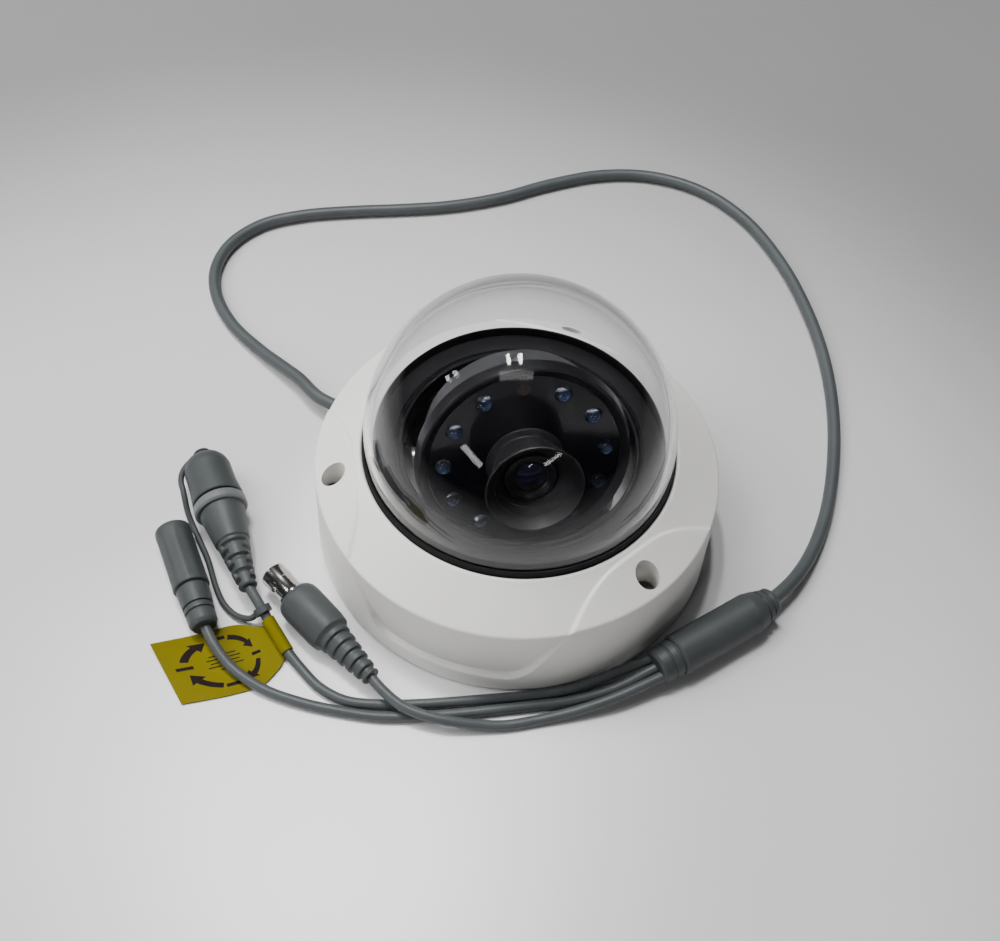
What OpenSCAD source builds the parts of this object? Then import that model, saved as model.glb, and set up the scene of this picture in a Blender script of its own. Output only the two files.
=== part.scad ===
// Vandal-resistant dome camera with a captive-screw cover, a three-axis lens
// module and a tail of one main cable, a splitter and three pigtails.
// +Z is up, away from the mounting surface. The origin is the centre of the
// base's underside. One cover screw lies on +Y.

/* [Cover] */
// Radius of the cover at its lower edge
cover_r = 72; // [71.8:0.1:72.4]
// Radius of the shoulder, where the wall meets the slope
shoulder_r = 71; // [70.8:0.1:71.2]
// Height of the shoulder
shoulder_z = 36; // [35.8:0.1:36.4]
// Height of the slope's inner edge, round the dome
cover_top_z = 47; // [46.8:0.1:47.2]
// Radius of the opening that the dome comes through
opening_r = 54.2; // [54.1:0.1:54.4]
// Depth of the three panels below the screw pads at their deepest
panel_depth = 2.4; // [1:0.1:2.6]
// Drop of the panels on the slope below the screw pads
pad_height = 1; // [0.4:0.1:1.2]
// Distance of the cover screws from the centre
screw_r = 64.5; // [64.3:0.1:64.6]
// Diameter of the wells that the cover screws sit in
well_d = 8.5; // [8:0.1:8.6]

/* [Dome] */
// Outer radius of the clear dome
dome_r = 53.3; // [53.2:0.05:53.35]
// Wall of the clear dome
dome_wall = 2.5; // [2:0.1:2.6]
// Height of the dome above the mounting surface
dome_top_z = 105; // [103:0.5:107]

/* [Base] */
// Radius of the base
base_r = 66; // [65.8:0.1:66.2]
// Thickness of the base's floor
floor_t = 3; // [2.5:0.1:3.2]
// Height of the base's rim
rim_z = 20; // [18.5:0.5:21]
// Circle of the three fixing holes
fixing_pcd = 104; // [98:1:108]
// Diameter of the fixing holes
fixing_d = 4.8; // [4.2:0.1:5.2]

/* [Lens module] */
// Height of the tilt axis
pivot_z = 44; // [43.8:0.1:44.4]
// Angle of the lens from straight up, as set
tilt_set = 70; // [0:1:75]
// Turn of the yoke about the vertical, as set
pan_set = 30; // [-177:1:177]
// Radius of the ball that the lens module is cut from
ball_r = 38.4; // [38:0.1:38.6]
// Distance from the tilt axis to the module's front rim
front_d = 12; // [11.8:0.1:12.2]
// Radius of the circle of infrared lamps
led_ring_r = 28; // [27.8:0.1:28.2]
// Front radius of the lens hood
hood_r = 17; // [16.5:0.1:17.4]
// Height of the lens hood above the lamp plate
hood_h = 17; // [15:0.5:18]

/* [Cables] */
// Diameter of the main cable
cable_d = 5; // [4.6:0.1:5]
// Diameter of each pigtail
pigtail_d = 3.6; // [3.2:0.1:3.6]
// Diameter of the splitter's body
splitter_d = 15; // [14:0.1:15]
// Outer diameter of the coaxial socket's barrel
bnc_d = 9.7; // [9.6:0.05:9.7]
// Bore of the power socket
dc_bore_d = 5.8; // [5.5:0.1:6.3]
// Diameter of the power socket's pin
dc_pin_d = 2.1; // [2:0.1:2.5]

/* [Hidden] */
$fn = 96;
fine = 192;
gap = 0.05;
eps = 0.01;

screw_az = [90, 210, 330];
panel_az = [30, 150, 270];
slope = (cover_top_z - shoulder_z) / (shoulder_r - opening_r);

// Cover
cover_z0 = 0.5;
cover_in_r = base_r + 0.4;
panel_z0 = 8.6;
seat_z = 39.6;
seat_r = 59.6;
well_floor_z = 26.5;
boss_z0 = 22;
boss_r = 5.75;
pad_chord = 57;
pad_half_w = 16.3;
pad_shoulder_angle = 27;
panel_half_top = 38.2;
panel_half_bottom = 26;
panel_corner = 6;
panel_lift = shoulder_z - pad_height + 2 * eps;

// Dome, gasket, clamp ring and liner
dome_z = dome_top_z - dome_r;
flange_r = 58.2;
flange_t = 2.6;
gasket_t = 1.4;
flange_top_z = seat_z - gasket_t;
clamp_t = 2.4;
clamp_top_z = flange_top_z - flange_t;
clamp_r = 58.4;
clamp_screw_r = 61.3;
clamp_screw_step = 14;
liner_r = 50.3;
liner_mouth_r = 40.5;
liner_top_z = 46;

// Base
post_r = 4.2;
post_top_z = 21.8;
seal_z = 16.5;
seal_wire_r = 0.95;
screw_end_z = 18.3;

// Pan mechanism
hub_r = 14;
hub_bore_r = 12;
pan_base_r = 34;
pan_base_top = 6.5;
table_z = 6.6;
table_t = 2;
table_top = table_z + table_t;
table_r = 36;
arm_in = 33.4;
arm_t = 2;
arm_out = arm_in + arm_t;
foot_in = 25;
foot_screw_x = 28.5;
foot_screw_y = 6;
lock_screw_r = 29;
pan_screw_r = 31;
pan_screw_az = [for (a = screw_az) a + 20];
retainer_z = table_top + 0.1;

// Lens module: distances along the lens axis from the tilt axis
neck_r = 29;
neck_bore_r = 27;
cradle_r = 32.4;
cradle_front = 4.85;
cradle_back = -9;
shell_back = 5;
shell_chamfer_d = 8;
recess_floor = 6.5;
recess_r = 33.2;
led_board_z = 6.6;
led_board_t = 1.6;
plate_z = 9.4;
plate_t = 1.4;
plate_top = plate_z + plate_t;
led_angles = [for (a = [28, 57, 86, 115, 144]) for (s = [-1, 1]) 90 + s * a];
sensor_board_z = -6;
board_screw_r = 23.4;
board_screw_az = [45, 135, 225, 315];
rear_z = -9.2;

// Cable exit
gland_az = 167;
gland_z = 8;
gland_r = 4.2;
gland_out = 82;

// Connectors: start point, heading and lengths along the heading
bnc_tip = [-69.6, -58.7, 7.8];
bnc_heading = -27.3;
dc_tip = [-111.8, -54.5, 6.6];
dc_heading = -46.7;
switch_tip = [-116.7, -21.6, 9.8];
switch_heading = -47.5;
splitter_tip = [98.7, -6, 7.5];
splitter_heading = 231.7;
splitter_l = 51.2;
bnc_barrel_l = 12.6;
bnc_body_l = 21;
bnc_relief_l = 20.7;
bnc_land_l = 5.4;
bnc_neck_r = 4.7;
dc_body_l = 27;
dc_l = 43;
cap_l = 24;
collar_l = 4;
switch_l = 63;

// Routes of the cables' centre lines
main_route = [
  [-78, 18, 8], [-88.7, 20.5, 7.6], [-100, 27, 6.6], [-111, 32, 5], [-121, 36.5, 3.6],
  [-139, 46, 2.5], [-152, 57.5, 2.5], [-160, 71, 2.5], [-161.5, 87.5, 2.5], [-154.5, 104, 2.5],
  [-141.5, 115.5, 2.5], [-122, 126.5, 2.5], [-102, 136, 2.5], [-82, 146.5, 2.5],
  [-63, 160, 2.5], [-45, 177, 2.5], [-25, 192, 2.5], [-3.5, 200, 2.5], [20.5, 199.5, 2.5],
  [44, 188.5, 2.5], [65.5, 167.5, 2.5], [82, 143.5, 2.5], [94.5, 118.5, 2.5],
  [103, 93, 2.5], [108, 68, 2.5], [110, 43.5, 2.8], [108.5, 23, 4], [104.5, 7, 6],
  [98, -6.9, 7.5]
];
switch_route = [
  [64.6, -43.1, 7.5], [52.5, -53.5, 5], [42.4, -61.4, 2.8], [33.4, -66.5, 1.8], [15, -75.5, 1.8],
  [-3, -84, 1.8], [-15.5, -89, 1.8], [-27.5, -92, 1.8], [-37.5, -90.7, 1.8], [-46.5, -86.5, 2.2],
  [-54.3, -82, 3.4], [-62.5, -76, 5], [-69.5, -71, 8.2], [-74.9, -67.2, 9.8]
];
dc_route = [
  [67.5, -45.5, 7.5], [56, -57.2, 5], [44.5, -65, 2.8], [28, -73.5, 1.8], [10, -82.8, 1.8],
  [-2.5, -88.6, 1.8], [-15, -93.4, 1.8], [-28, -96.2, 1.8], [-41.5, -98, 2], [-55.5, -98, 2.4],
  [-68, -95, 3.3], [-77, -90, 5.2], [-83.4, -84.6, 6.6]
];
bnc_route = [
  [70.5, -47.8, 7.5], [58, -60, 5.8], [47, -68.3, 3.4], [35, -76, 1.8], [26, -81.3, 1.8],
  [17, -85, 3], [5, -88.6, 5.3], [-7, -89.2, 6.2], [-15, -86.9, 7], [-23.3, -82.6, 7.8]
];
tether_route = [
  [-116, -38.05, 9.8], [-115.2, -38.95, 9.7], [-113.2, -41.7, 8.4], [-110.6, -45.15, 5.6],
  [-107, -48.65, 3], [-102.6, -52.6, 1.7], [-96, -58.8, 1.6], [-88, -68, 1.6],
  [-82, -73.3, 1.7], [-75.8, -75.9, 2.1], [-70.2, -75.9, 3.9], [-68.7, -74.7, 5.25]
];

// The tag: its two long edges, from the pigtail it is folded round to its free end
tag_edges = [
  [[-64.4, -76.4, 2.6], [-53.6, -84.2, 1]], [[-67.4, -77.4, 1.8], [-53.3, -87.6, 0.6]],
  [[-75, -78.8, 1.3], [-55.6, -96.4, 0.4]], [[-86.5, -87.6, 0.6], [-66, -104.4, 0.2]],
  [[-98.4, -96.5, 2], [-78.3, -112.1, 0.4]]
];
tag_t = 0.4;
tag_fold_start = [-64, -74.9, 5.3];
tag_fold_end = [-53, -82.9, 3.2];

// ---- helpers ----

function unit(v) = v / norm(v);
function heading_at(p, i) =
  let (a = p[max(i - 1, 0)], b = p[min(i + 1, len(p) - 1)]) unit(b - a);
function ring_at(p, i, r, n) =
  let (t = heading_at(p, i), side = unit(cross(t, [0, 0, 1])), up = cross(side, t))
  [for (k = [0 : n - 1]) p[i] + r * (cos(360 * k / n) * side + sin(360 * k / n) * up)];

// A round cord swept along its route, with one ring at each point.
module cord(route, d, n = 8) {
  rings = len(route);
  points = [for (i = [0 : rings - 1]) each ring_at(route, i, d / 2, n)];
  walls = [for (i = [0 : rings - 2]) for (k = [0 : n - 1])
    [i * n + k, i * n + (k + 1) % n, (i + 1) * n + (k + 1) % n, (i + 1) * n + k]];
  start = [[for (k = [n - 1 : -1 : 0]) k]];
  finish = [[for (k = [0 : n - 1]) (rings - 1) * n + k]];
  polyhedron(points, concat(walls, start, finish));
}

// Children are drawn with +Z along a horizontal heading from a point.
module along(p, heading) {
  translate(p) rotate([0, 0, heading]) rotate([0, 90, 0]) children();
}

// Children are drawn with +Z along the lens axis and the tilt axis along X.
module in_module() {
  translate([0, 0, pivot_z]) rotate([0, 0, pan_set]) rotate([tilt_set, 0, 0]) children();
}

module in_yoke() {
  rotate([0, 0, pan_set]) children();
}

module at_foot_screws() {
  in_yoke() for (s = [-1, 1]) for (y = [-1, 1])
    translate([s * foot_screw_x, y * foot_screw_y, 0]) children();
}

module at_angles(angles, r) {
  for (a = angles) rotate([0, 0, a]) translate([r, 0, 0]) children();
}

module tube(r_out, r_in, z0, z1) {
  translate([0, 0, z0]) difference() {
    cylinder(r = r_out, h = z1 - z0);
    translate([0, 0, -1]) cylinder(r = r_in, h = z1 - z0 + 2);
  }
}

module rod(r, z0, z1) {
  translate([0, 0, z0]) cylinder(r = r, h = z1 - z0);
}

module lathe(points, n = fine) {
  rotate_extrude($fn = n) polygon(points);
}

// A pan-head screw pointing down from z = 0, with a star recess.
module screw(head_r, head_h, shank_r, shank_l) {
  difference() {
    cylinder(r = head_r, h = head_h, $fn = 48);
    translate([0, 0, head_h * 0.45]) cylinder(r = head_r * 0.5, h = head_h, $fn = 6);
  }
  translate([0, 0, -shank_l]) cylinder(r = shank_r, h = shank_l + eps, $fn = 48);
}

// ---- housing ----

module base_housing() {
  color("silver") difference() {
    union() {
      cylinder(r = base_r, h = floor_t, $fn = fine);
      tube(base_r, base_r - 2.6, floor_t - eps, rim_z);
      at_angles(screw_az, screw_r) cylinder(r = post_r, h = post_top_z);
    }
    at_angles(screw_az, screw_r) rod(2, screw_end_z - 0.3, post_top_z + 1);
    at_angles(panel_az, fixing_pcd / 2) rod(fixing_d / 2, -1, floor_t + 1);
    at_angles(pan_screw_az, pan_screw_r) rod(1.2, 0.8, floor_t + 1);
    along([0, 0, gland_z], gland_az) rod(gland_r, base_r - 6, base_r + 2);
    lathe([[base_r - 1.5, seal_z - 1.1], [base_r + 1, seal_z - 1.1],
           [base_r + 1, seal_z + 1.1], [base_r - 1.5, seal_z + 1.1]]);
  }
}

// The panels lie between the screw pads: a shallow step on the slope, and a
// shield on the wall that deepens from the shoulder down to its lower edge.
module pad_outline() {
  x = (shoulder_r + 0.3) * cos(pad_shoulder_angle);
  y = (shoulder_r + 0.3) * sin(pad_shoulder_angle);
  polygon([[pad_chord, -pad_half_w], [pad_chord, pad_half_w], [x, y], [80, 44], [80, -44],
           [x, -y]]);
}

module slope_cutter() {
  intersection() {
    lathe([[opening_r - 1, cover_top_z - pad_height + slope],
           [shoulder_r, shoulder_z - pad_height + eps], [80, shoulder_z - pad_height + eps],
           [80, 60], [opening_r - 1, 60]]);
    linear_extrude(80) difference() {
      circle(r = 76, $fn = fine);
      for (a = screw_az) rotate(a) pad_outline();
    }
  }
}

module shield() {
  c = panel_corner;
  arc = [for (a = [0 : 10 : 60]) [c * sin(a), c - c * cos(a)]];
  right = [for (p = arc) [panel_half_bottom - c * 0.7 + p[0], panel_z0 + p[1]]];
  left = [for (i = [len(right) - 1 : -1 : 0]) [-right[i][0], right[i][1]]];
  polygon(concat(right, [[panel_half_top, panel_lift], [-panel_half_top, panel_lift]], left));
}

module wall_cutter() {
  intersection() {
    lathe([[shoulder_r, panel_lift], [cover_r - panel_depth - 0.2, panel_z0 - 1],
           [80, panel_z0 - 1], [80, panel_lift]]);
    for (a = panel_az) rotate([0, 0, a]) rotate([90, 0, 90]) translate([0, 0, 40])
      linear_extrude(50) shield();
  }
}

module top_cover() {
  in_top = cover_top_z - pad_height - 3.1;
  color("white") difference() {
    union() {
      difference() {
        lathe([[0, cover_z0], [cover_r, cover_z0], [shoulder_r, shoulder_z],
               [opening_r, cover_top_z], [0, cover_top_z]]);
        lathe([[0, cover_z0 - 1], [cover_in_r, cover_z0 - 1],
               [cover_in_r, in_top - slope * (cover_in_r - opening_r)],
               [seat_r, seat_z], [0, seat_z]]);
        rod(opening_r, 0, 60);
      }
      intersection() {
        union() {
          at_angles(screw_az, screw_r) rod(boss_r, boss_z0, 40);
          for (a = screw_az) at_angles([a - clamp_screw_step, a + clamp_screw_step],
            clamp_screw_r) rod(2.6, clamp_top_z, 41);
        }
        lathe([[0, 0], [cover_r, 0], [shoulder_r, shoulder_z], [opening_r, cover_top_z],
               [0, cover_top_z]]);
      }
    }
    slope_cutter();
    wall_cutter();
    at_angles(screw_az, screw_r) rod(well_d / 2, well_floor_z, 60);
    at_angles(screw_az, screw_r) rod(2.2, boss_z0 - 1, well_floor_z + 1);
    at_angles(screw_az, screw_r) rod(post_r + 0.4, -1, boss_z0);
    for (a = screw_az) at_angles([a - clamp_screw_step, a + clamp_screw_step], clamp_screw_r)
      rod(1, clamp_top_z - 1, seat_z);
    along([0, 0, gland_z], gland_az) rod(gland_r + 0.2, base_r - 6, cover_r + 2);
    rotate([0, 0, gland_az]) translate([base_r - 6, -gland_r - 0.2, -1])
      cube([14, 2 * (gland_r + 0.2), gland_z + 1]);
  }
}

module cover_seal() {
  color("dimgray") rotate_extrude($fn = fine) translate([base_r - 0.56, seal_z])
    circle(r = seal_wire_r, $fn = 24);
}

module cover_screws() {
  color("gray") at_angles(screw_az, screw_r) translate([0, 0, well_floor_z])
    screw(3.7, 3.4, 1.95, well_floor_z - screw_end_z);
}

module clear_dome() {
  in_r = dome_r - dome_wall;
  color("lightcyan", 0.4) difference() {
    union() {
      intersection() {
        translate([0, 0, dome_z]) sphere(r = dome_r, $fn = fine);
        rod(dome_r + 1, dome_z, dome_top_z + 1);
      }
      rod(dome_r, clamp_top_z, dome_z);
      rod(flange_r, clamp_top_z, flange_top_z);
    }
    intersection() {
      translate([0, 0, dome_z]) sphere(r = in_r, $fn = fine);
      rod(in_r + 1, dome_z, dome_top_z);
    }
    rod(in_r, clamp_top_z - 1, dome_z);
  }
}

module dome_gasket() {
  lip = opening_r - 0.1;
  color("black") lathe([
    [dome_r, flange_top_z], [flange_r, flange_top_z], [flange_r, seat_z], [lip, seat_z],
    [lip, cover_top_z + 0.2], [lip - 0.2, cover_top_z + 0.5], [dome_r + 0.2, cover_top_z + 0.5],
    [dome_r, cover_top_z + 0.3]]);
}

module dome_clamp_ring() {
  color("silver") difference() {
    union() {
      tube(clamp_r, liner_r + 2, clamp_top_z - clamp_t, clamp_top_z);
      for (a = screw_az) at_angles([a - clamp_screw_step, a + clamp_screw_step], clamp_screw_r)
        rod(3.1, clamp_top_z - clamp_t, clamp_top_z);
    }
    for (a = screw_az) at_angles([a - clamp_screw_step, a + clamp_screw_step], clamp_screw_r)
      rod(1.4, 0, 60);
    at_angles(screw_az, screw_r) rod(boss_r + 0.2, 0, 60);
  }
}

module clamp_ring_screws() {
  color("dimgray") for (a = screw_az)
    at_angles([a - clamp_screw_step, a + clamp_screw_step], clamp_screw_r)
      translate([0, 0, clamp_top_z - clamp_t]) rotate([180, 0, 0]) screw(2.3, 1.6, 0.98, 5.6);
}

module inner_liner() {
  floor_z = clamp_top_z - clamp_t;
  color("black") lathe([
    [liner_mouth_r, 38], [liner_mouth_r + 1.2, 38], [liner_mouth_r + 1.2, liner_top_z - 2.2],
    [liner_r - 1.4, liner_top_z - 1.4], [liner_r - 1.4, floor_z - 1.8], [57, floor_z - 1.8],
    [57, floor_z], [liner_r, floor_z], [liner_r, liner_top_z], [liner_mouth_r + 1.2, liner_top_z - 0.8],
    [liner_mouth_r + 0.9, liner_top_z - 0.2], [liner_mouth_r, liner_top_z - 0.4]]);
}

// ---- pan mechanism ----

module pan_base() {
  color("dimgray") difference() {
    union() {
      tube(pan_base_r, 22, floor_t, pan_base_top);
      tube(hub_r, hub_bore_r, floor_t, retainer_z);
      tube(22.5, hub_bore_r, floor_t, floor_t + 1.5);
    }
    at_angles(pan_screw_az, pan_screw_r) rod(1.6, 0, 20);
    at_angles(pan_screw_az, pan_screw_r) rod(2.8, floor_t + 1.6, 20);
  }
}

module pan_base_screws() {
  color("gray") at_angles(pan_screw_az, pan_screw_r) translate([0, 0, floor_t + 1.6])
    screw(2.5, 1.7, 1.18, 3.6);
}

module pan_retainer() {
  color("silver") tube(17, hub_bore_r, retainer_z, retainer_z + 0.4);
}

module pan_turntable() {
  color("dimgray") difference() {
    rod(table_r, table_z, table_top);
    rod(hub_r + gap, 0, 20);
    at_foot_screws() rod(1, 0, 20);
    in_yoke() translate([0, lock_screw_r, 0]) rod(1.5, 0, 20);
  }
}

module arm_profile() {
  z0 = table_top + 0.05;
  dome_pts = [for (a = [0 : 10 : 180]) [4.5 * cos(a), pivot_z + 4.5 * sin(a)]];
  polygon(concat([[-9, z0], [9, z0], [9, z0 + 8]], dome_pts, [[-9, z0 + 8]]));
}

module yoke_bracket() {
  z0 = table_top + 0.05;
  color("gray") in_yoke() for (s = [0, 180]) rotate([0, 0, s]) difference() {
    union() {
      translate([arm_in, 0, 0]) rotate([90, 0, 90]) linear_extrude(arm_t) arm_profile();
      translate([foot_in, -9, z0]) cube([arm_out - foot_in, 18, 1.6]);
    }
    translate([0, 0, pivot_z]) rotate([0, 90, 0]) rod(1.95 + gap, 30, 40);
    for (y = [-1, 1]) translate([foot_screw_x, y * foot_screw_y, 0]) rod(1.35, 0, 20);
  }
}

module yoke_screws() {
  color("silver") at_foot_screws() translate([0, 0, table_top + 1.65])
    screw(2.2, 1.5, 0.98, 3.6);
}

module pan_lock_screw() {
  color("silver") in_yoke() translate([0, lock_screw_r, table_top + 0.3])
    screw(3.2, 2.2, 1.48, 2.2);
}

// ---- tilt cradle ----

module tilt_cradle() {
  color("dimgray") in_module() difference() {
    union() {
      tube(cradle_r, neck_r + 2 * gap, cradle_back, cradle_front);
      for (s = [-1, 1]) intersection() {
        rotate([0, s * 90, 0]) rod(4.2, 30, 32.8);
        difference() {
          rod(40, -9, cradle_front);
          rod(neck_r + 2 * gap, -10, 10);
        }
      }
    }
    for (s = [-1, 1]) rotate([0, s * 90, 0]) rod(1.95, 25, 35);
    rotate([-90, 0, 0]) rod(1.48, 25, 35);
  }
}

module tilt_pivot_screws() {
  color("silver") in_module() for (s = [-1, 1]) rotate([0, s * 90, 0])
    translate([0, 0, arm_out + gap]) screw(3.6, 1.8, 1.95, arm_out - 29.6);
}

module friction_washers() {
  color("black") in_module() for (s = [-1, 1]) rotate([0, s * 90, 0])
    tube(4, 1.95, 32.8, arm_in - gap);
}

module roll_lock_screw() {
  color("silver") in_module() rotate([-90, 0, 0]) translate([0, 0, cradle_r])
    screw(2, 1.1, 1.48, 2.8);
}

// ---- lens module ----

module module_shell() {
  rim_r = sqrt(ball_r * ball_r - front_d * front_d);
  a0 = asin(shell_chamfer_d / ball_r);
  a1 = asin(front_d / ball_r);
  band = [for (i = [0 : 5]) let (a = a0 + i * (a1 - a0) / 5) [ball_r * cos(a), ball_r * sin(a)]];
  color("#26282a") in_module() {
    lathe(concat(
      [[neck_bore_r, rear_z], [neck_r, rear_z], [neck_r, shell_back],
       [ball_r - 3.9, shell_back]],
      band,
      [[rim_r - 0.6, front_d], [recess_r + 1, front_d - 0.6], [recess_r, plate_top],
       [recess_r, recess_floor], [neck_bore_r, recess_floor]]));
    difference() {
      intersection() {
        at_angles(board_screw_az, board_screw_r) rod(3.8, sensor_board_z + 1.7, recess_floor);
        rod(neck_bore_r + 0.5, sensor_board_z, recess_floor);
      }
      at_angles(board_screw_az, board_screw_r) rod(1.02, -20, 20);
    }
  }
}

module rear_cover() {
  color("#26282a") in_module() difference() {
    union() {
      lathe([[0, -22], [19, -22], [21, -20], [21, -11.2], [31, -11.2], [31, rear_z],
             [neck_bore_r - 0.1, rear_z], [neck_bore_r - 0.1, -7.4], [25.4, -7.4],
             [25.4, rear_z], [19.4, rear_z], [19.4, -20.4], [0, -20.4]]);
      at_angles(screw_az, 16) rod(1.8, -20.5, -14);
    }
    at_angles(board_screw_az, board_screw_r) rod(1.3, -12, -7);
    translate([0, 10, 0]) rod(3, -23, -20);
    for (x = [-12 : 4 : 12]) translate([x - 0.8, -14, -23]) cube([1.6, 16, 2]);
  }
}

module rear_cover_screws() {
  color("silver") in_module() at_angles(board_screw_az, board_screw_r)
    translate([0, 0, -11.2]) rotate([180, 0, 0]) screw(2, 1.3, 1, 9);
}

module board_spacers() {
  color("goldenrod") in_module() at_angles(board_screw_az, board_screw_r)
    tube(2.2, 1.05, -7.3, sensor_board_z);
}

module lamp_board() {
  color("darkgreen") in_module() difference() {
    tube(32.8, 17, led_board_z, led_board_z + led_board_t);
    at_angles([90 + 180], 20.5) rod(1.2, 0, 20);
  }
}

module infrared_lamps() {
  z0 = led_board_z + led_board_t;
  color("lightblue", 0.8) in_module() at_angles(led_angles, led_ring_r) {
    rod(2.9, z0, z0 + 1);
    rod(2.5, z0, plate_top);
    intersection() {
      translate([0, 0, plate_top]) sphere(r = 2.5, $fn = 32);
      rod(3, plate_top - eps, plate_top + 3);
    }
  }
}

module lamp_plate() {
  color("#15171a") in_module() difference() {
    tube(recess_r - 0.1, 13, plate_z, plate_top);
    at_angles(led_angles, led_ring_r) rod(3.05, 0, 20);
    at_angles([90], led_ring_r) rod(2.3, 0, 20);
  }
}

module light_sensor() {
  z0 = led_board_z + led_board_t;
  color("tan") in_module() at_angles([90], led_ring_r) rod(2.2, z0, plate_top - 0.3);
}

module lens_hood() {
  z0 = plate_top;
  top = plate_top + hood_h;
  color("#101113") in_module() lathe([
    [9.3, z0 - 3], [12.8, z0 - 3], [12.8, z0], [13.6, z0 + 0.05], [13.6, z0 + 1],
    [11, z0 + 1.6], [hood_r - 0.3, top - 0.4], [hood_r - 0.6, top], [hood_r - 1, top],
    [hood_r - 1.3, top - 0.5], [9.3, z0 + 9]]);
}

module lens_holder() {
  color("#1b1c1e") in_module() difference() {
    union() {
      translate([-10, -10, sensor_board_z + 1.7]) cube([20, 20, 3]);
      rod(8.4, sensor_board_z + 1.7, 7);
    }
    rod(6.05, 0.5, 20);
    translate([-6, -6, sensor_board_z]) cube([12, 12, 5.3]);
    rod(4, sensor_board_z, 4);
  }
}

module lens_barrel() {
  color("#0c0d0e") in_module() difference() {
    union() {
      rod(6, 0.6, 9);
      rod(8, 8.5, 17.2);
      lathe([[0, 17.1], [9.1, 17.1], [9.1, 20.6], [8.6, 21.1], [0, 21.1]], 96);
    }
    rod(3.6, -1, 17);
    rod(6, 16.5, 30);
    lathe([[0, 18.4], [6, 18.4], [7.6, 21.2], [0, 21.2]], 96);
    for (r = [6.4, 7]) tube(r + 0.15, r - 0.15, 19.4, 22);
  }
}

module front_lens() {
  color("#28304a", 0.7) in_module() intersection() {
    rod(5.95, 16.6, 21);
    translate([0, 0, 9.2]) sphere(r = 10.4, $fn = 64);
  }
}

module infrared_filter() {
  color("indianred", 0.6) in_module() translate([-4.4, -4.4, -1.3]) cube([8.8, 8.8, 0.5]);
}

module image_sensor() {
  color("#22262a") in_module() translate([-5, -5, sensor_board_z + 1.6]) cube([10, 10, 1.3]);
}

module sensor_board() {
  color("darkgreen") in_module() difference() {
    rod(26.4, sensor_board_z, sensor_board_z + 1.6);
    at_angles(board_screw_az, board_screw_r) rod(1.05, -20, 20);
  }
}

module processor_board() {
  color("darkgreen") in_module() union() {
    rod(19, -14, -12.4);
    translate([-7, -6, -12.4]) cube([14, 14, 1.8]);
    translate([-9, 9.5, -16.5]) cube([8, 5, 2.5]);
  }
}

// ---- cable exit and inner lead ----

module cable_gland() {
  color("#3c3f41") along([0, 0, gland_z], gland_az) difference() {
    lathe([[0, base_r - 5], [4.9, base_r - 5], [4.9, base_r - 3], [gland_r, base_r - 3],
           [gland_r, cover_r + 0.4], [gland_r + 0.5, cover_r + 0.4],
           [gland_r + 0.4, cover_r + 1.6], [gland_r - 0.5, cover_r + 1.8],
           [3.1, gland_out], [0, gland_out]], 64);
    rod(1.6, base_r - 10, base_r);
  }
}

module inner_lead() {
  color("#3c3f41") {
    along([0, 0, gland_z], gland_az) rod(1.55, 42, base_r - 0.5);
    rotate([0, 0, gland_az]) translate([37.5, -4, floor_t]) cube([5, 8, 7.4]);
  }
}

// ---- cables, connectors, tag ----

module main_cable() {
  color("#5a6164") cord(main_route, cable_d);
}

module switch_pigtail() {
  color("#5a6164") cord(switch_route, pigtail_d);
}

module power_pigtail() {
  color("#5a6164") cord(dc_route, pigtail_d);
}

module video_pigtail() {
  color("#5a6164") cord(bnc_route, pigtail_d);
}

module cable_splitter() {
  r = splitter_d / 2;
  l = splitter_l;
  color("#4a5053") along(splitter_tip, splitter_heading) lathe([
    [0, 0], [4.6, 0], [5.4, 1], [5.4, 2.4], [4.9, 2.5], [4.9, 3.1], [5.8, 3.2], [6.2, 5.2],
    [5.6, 5.3], [5.6, 5.9], [6.6, 6], [r, 10], [r, l - 9.5], [r - 0.6, l - 8.5], [r - 1.2, l - 8.4],
    [r - 1.2, l - 7.7], [r - 0.7, l - 7.6], [r - 0.9, l - 5.2], [r - 1.4, l - 5.1],
    [r - 1.4, l - 4.4], [r - 1, l - 4.3], [r - 1.3, l - 1], [r - 2.2, l], [0, l]], 96);
}

module relief_profile(z0, length, r0, r1, grooves) {
  step = length / (grooves + 0.5);
  function r_at(z) = r0 + (r1 - r0) * (z - z0) / length;
  points = [for (i = [0 : grooves - 1]) let (z = z0 + (i + 0.55) * step)
    each [[r_at(z), z], [r_at(z) - 1, z + 0.1], [r_at(z) - 1, z + step * 0.4],
          [r_at(z + step * 0.45), z + step * 0.45]]];
  lathe(concat([[0, z0], [r0, z0]], points, [[r1, z0 + length], [0, z0 + length]]), 64);
}

module video_plug_body() {
  z1 = bnc_barrel_l + bnc_body_l;
  color("#565c5f") along(bnc_tip, bnc_heading) difference() {
    union() {
      lathe([[0, bnc_barrel_l], [5.7, bnc_barrel_l], [6.8, bnc_barrel_l + 0.6],
             [7.5, bnc_barrel_l + 2], [7.75, bnc_barrel_l + 4.5], [7.6, z1 - 4], [7.2, z1 - 1],
             [6.6, z1], [0, z1]], 96);
      relief_profile(z1 - eps, bnc_relief_l, 6, 3.2, 5);
    }
    rod(5.1, 0, bnc_barrel_l + 6);
    rod(1.8, z1 + bnc_relief_l - 3, 80);
  }
}

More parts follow.
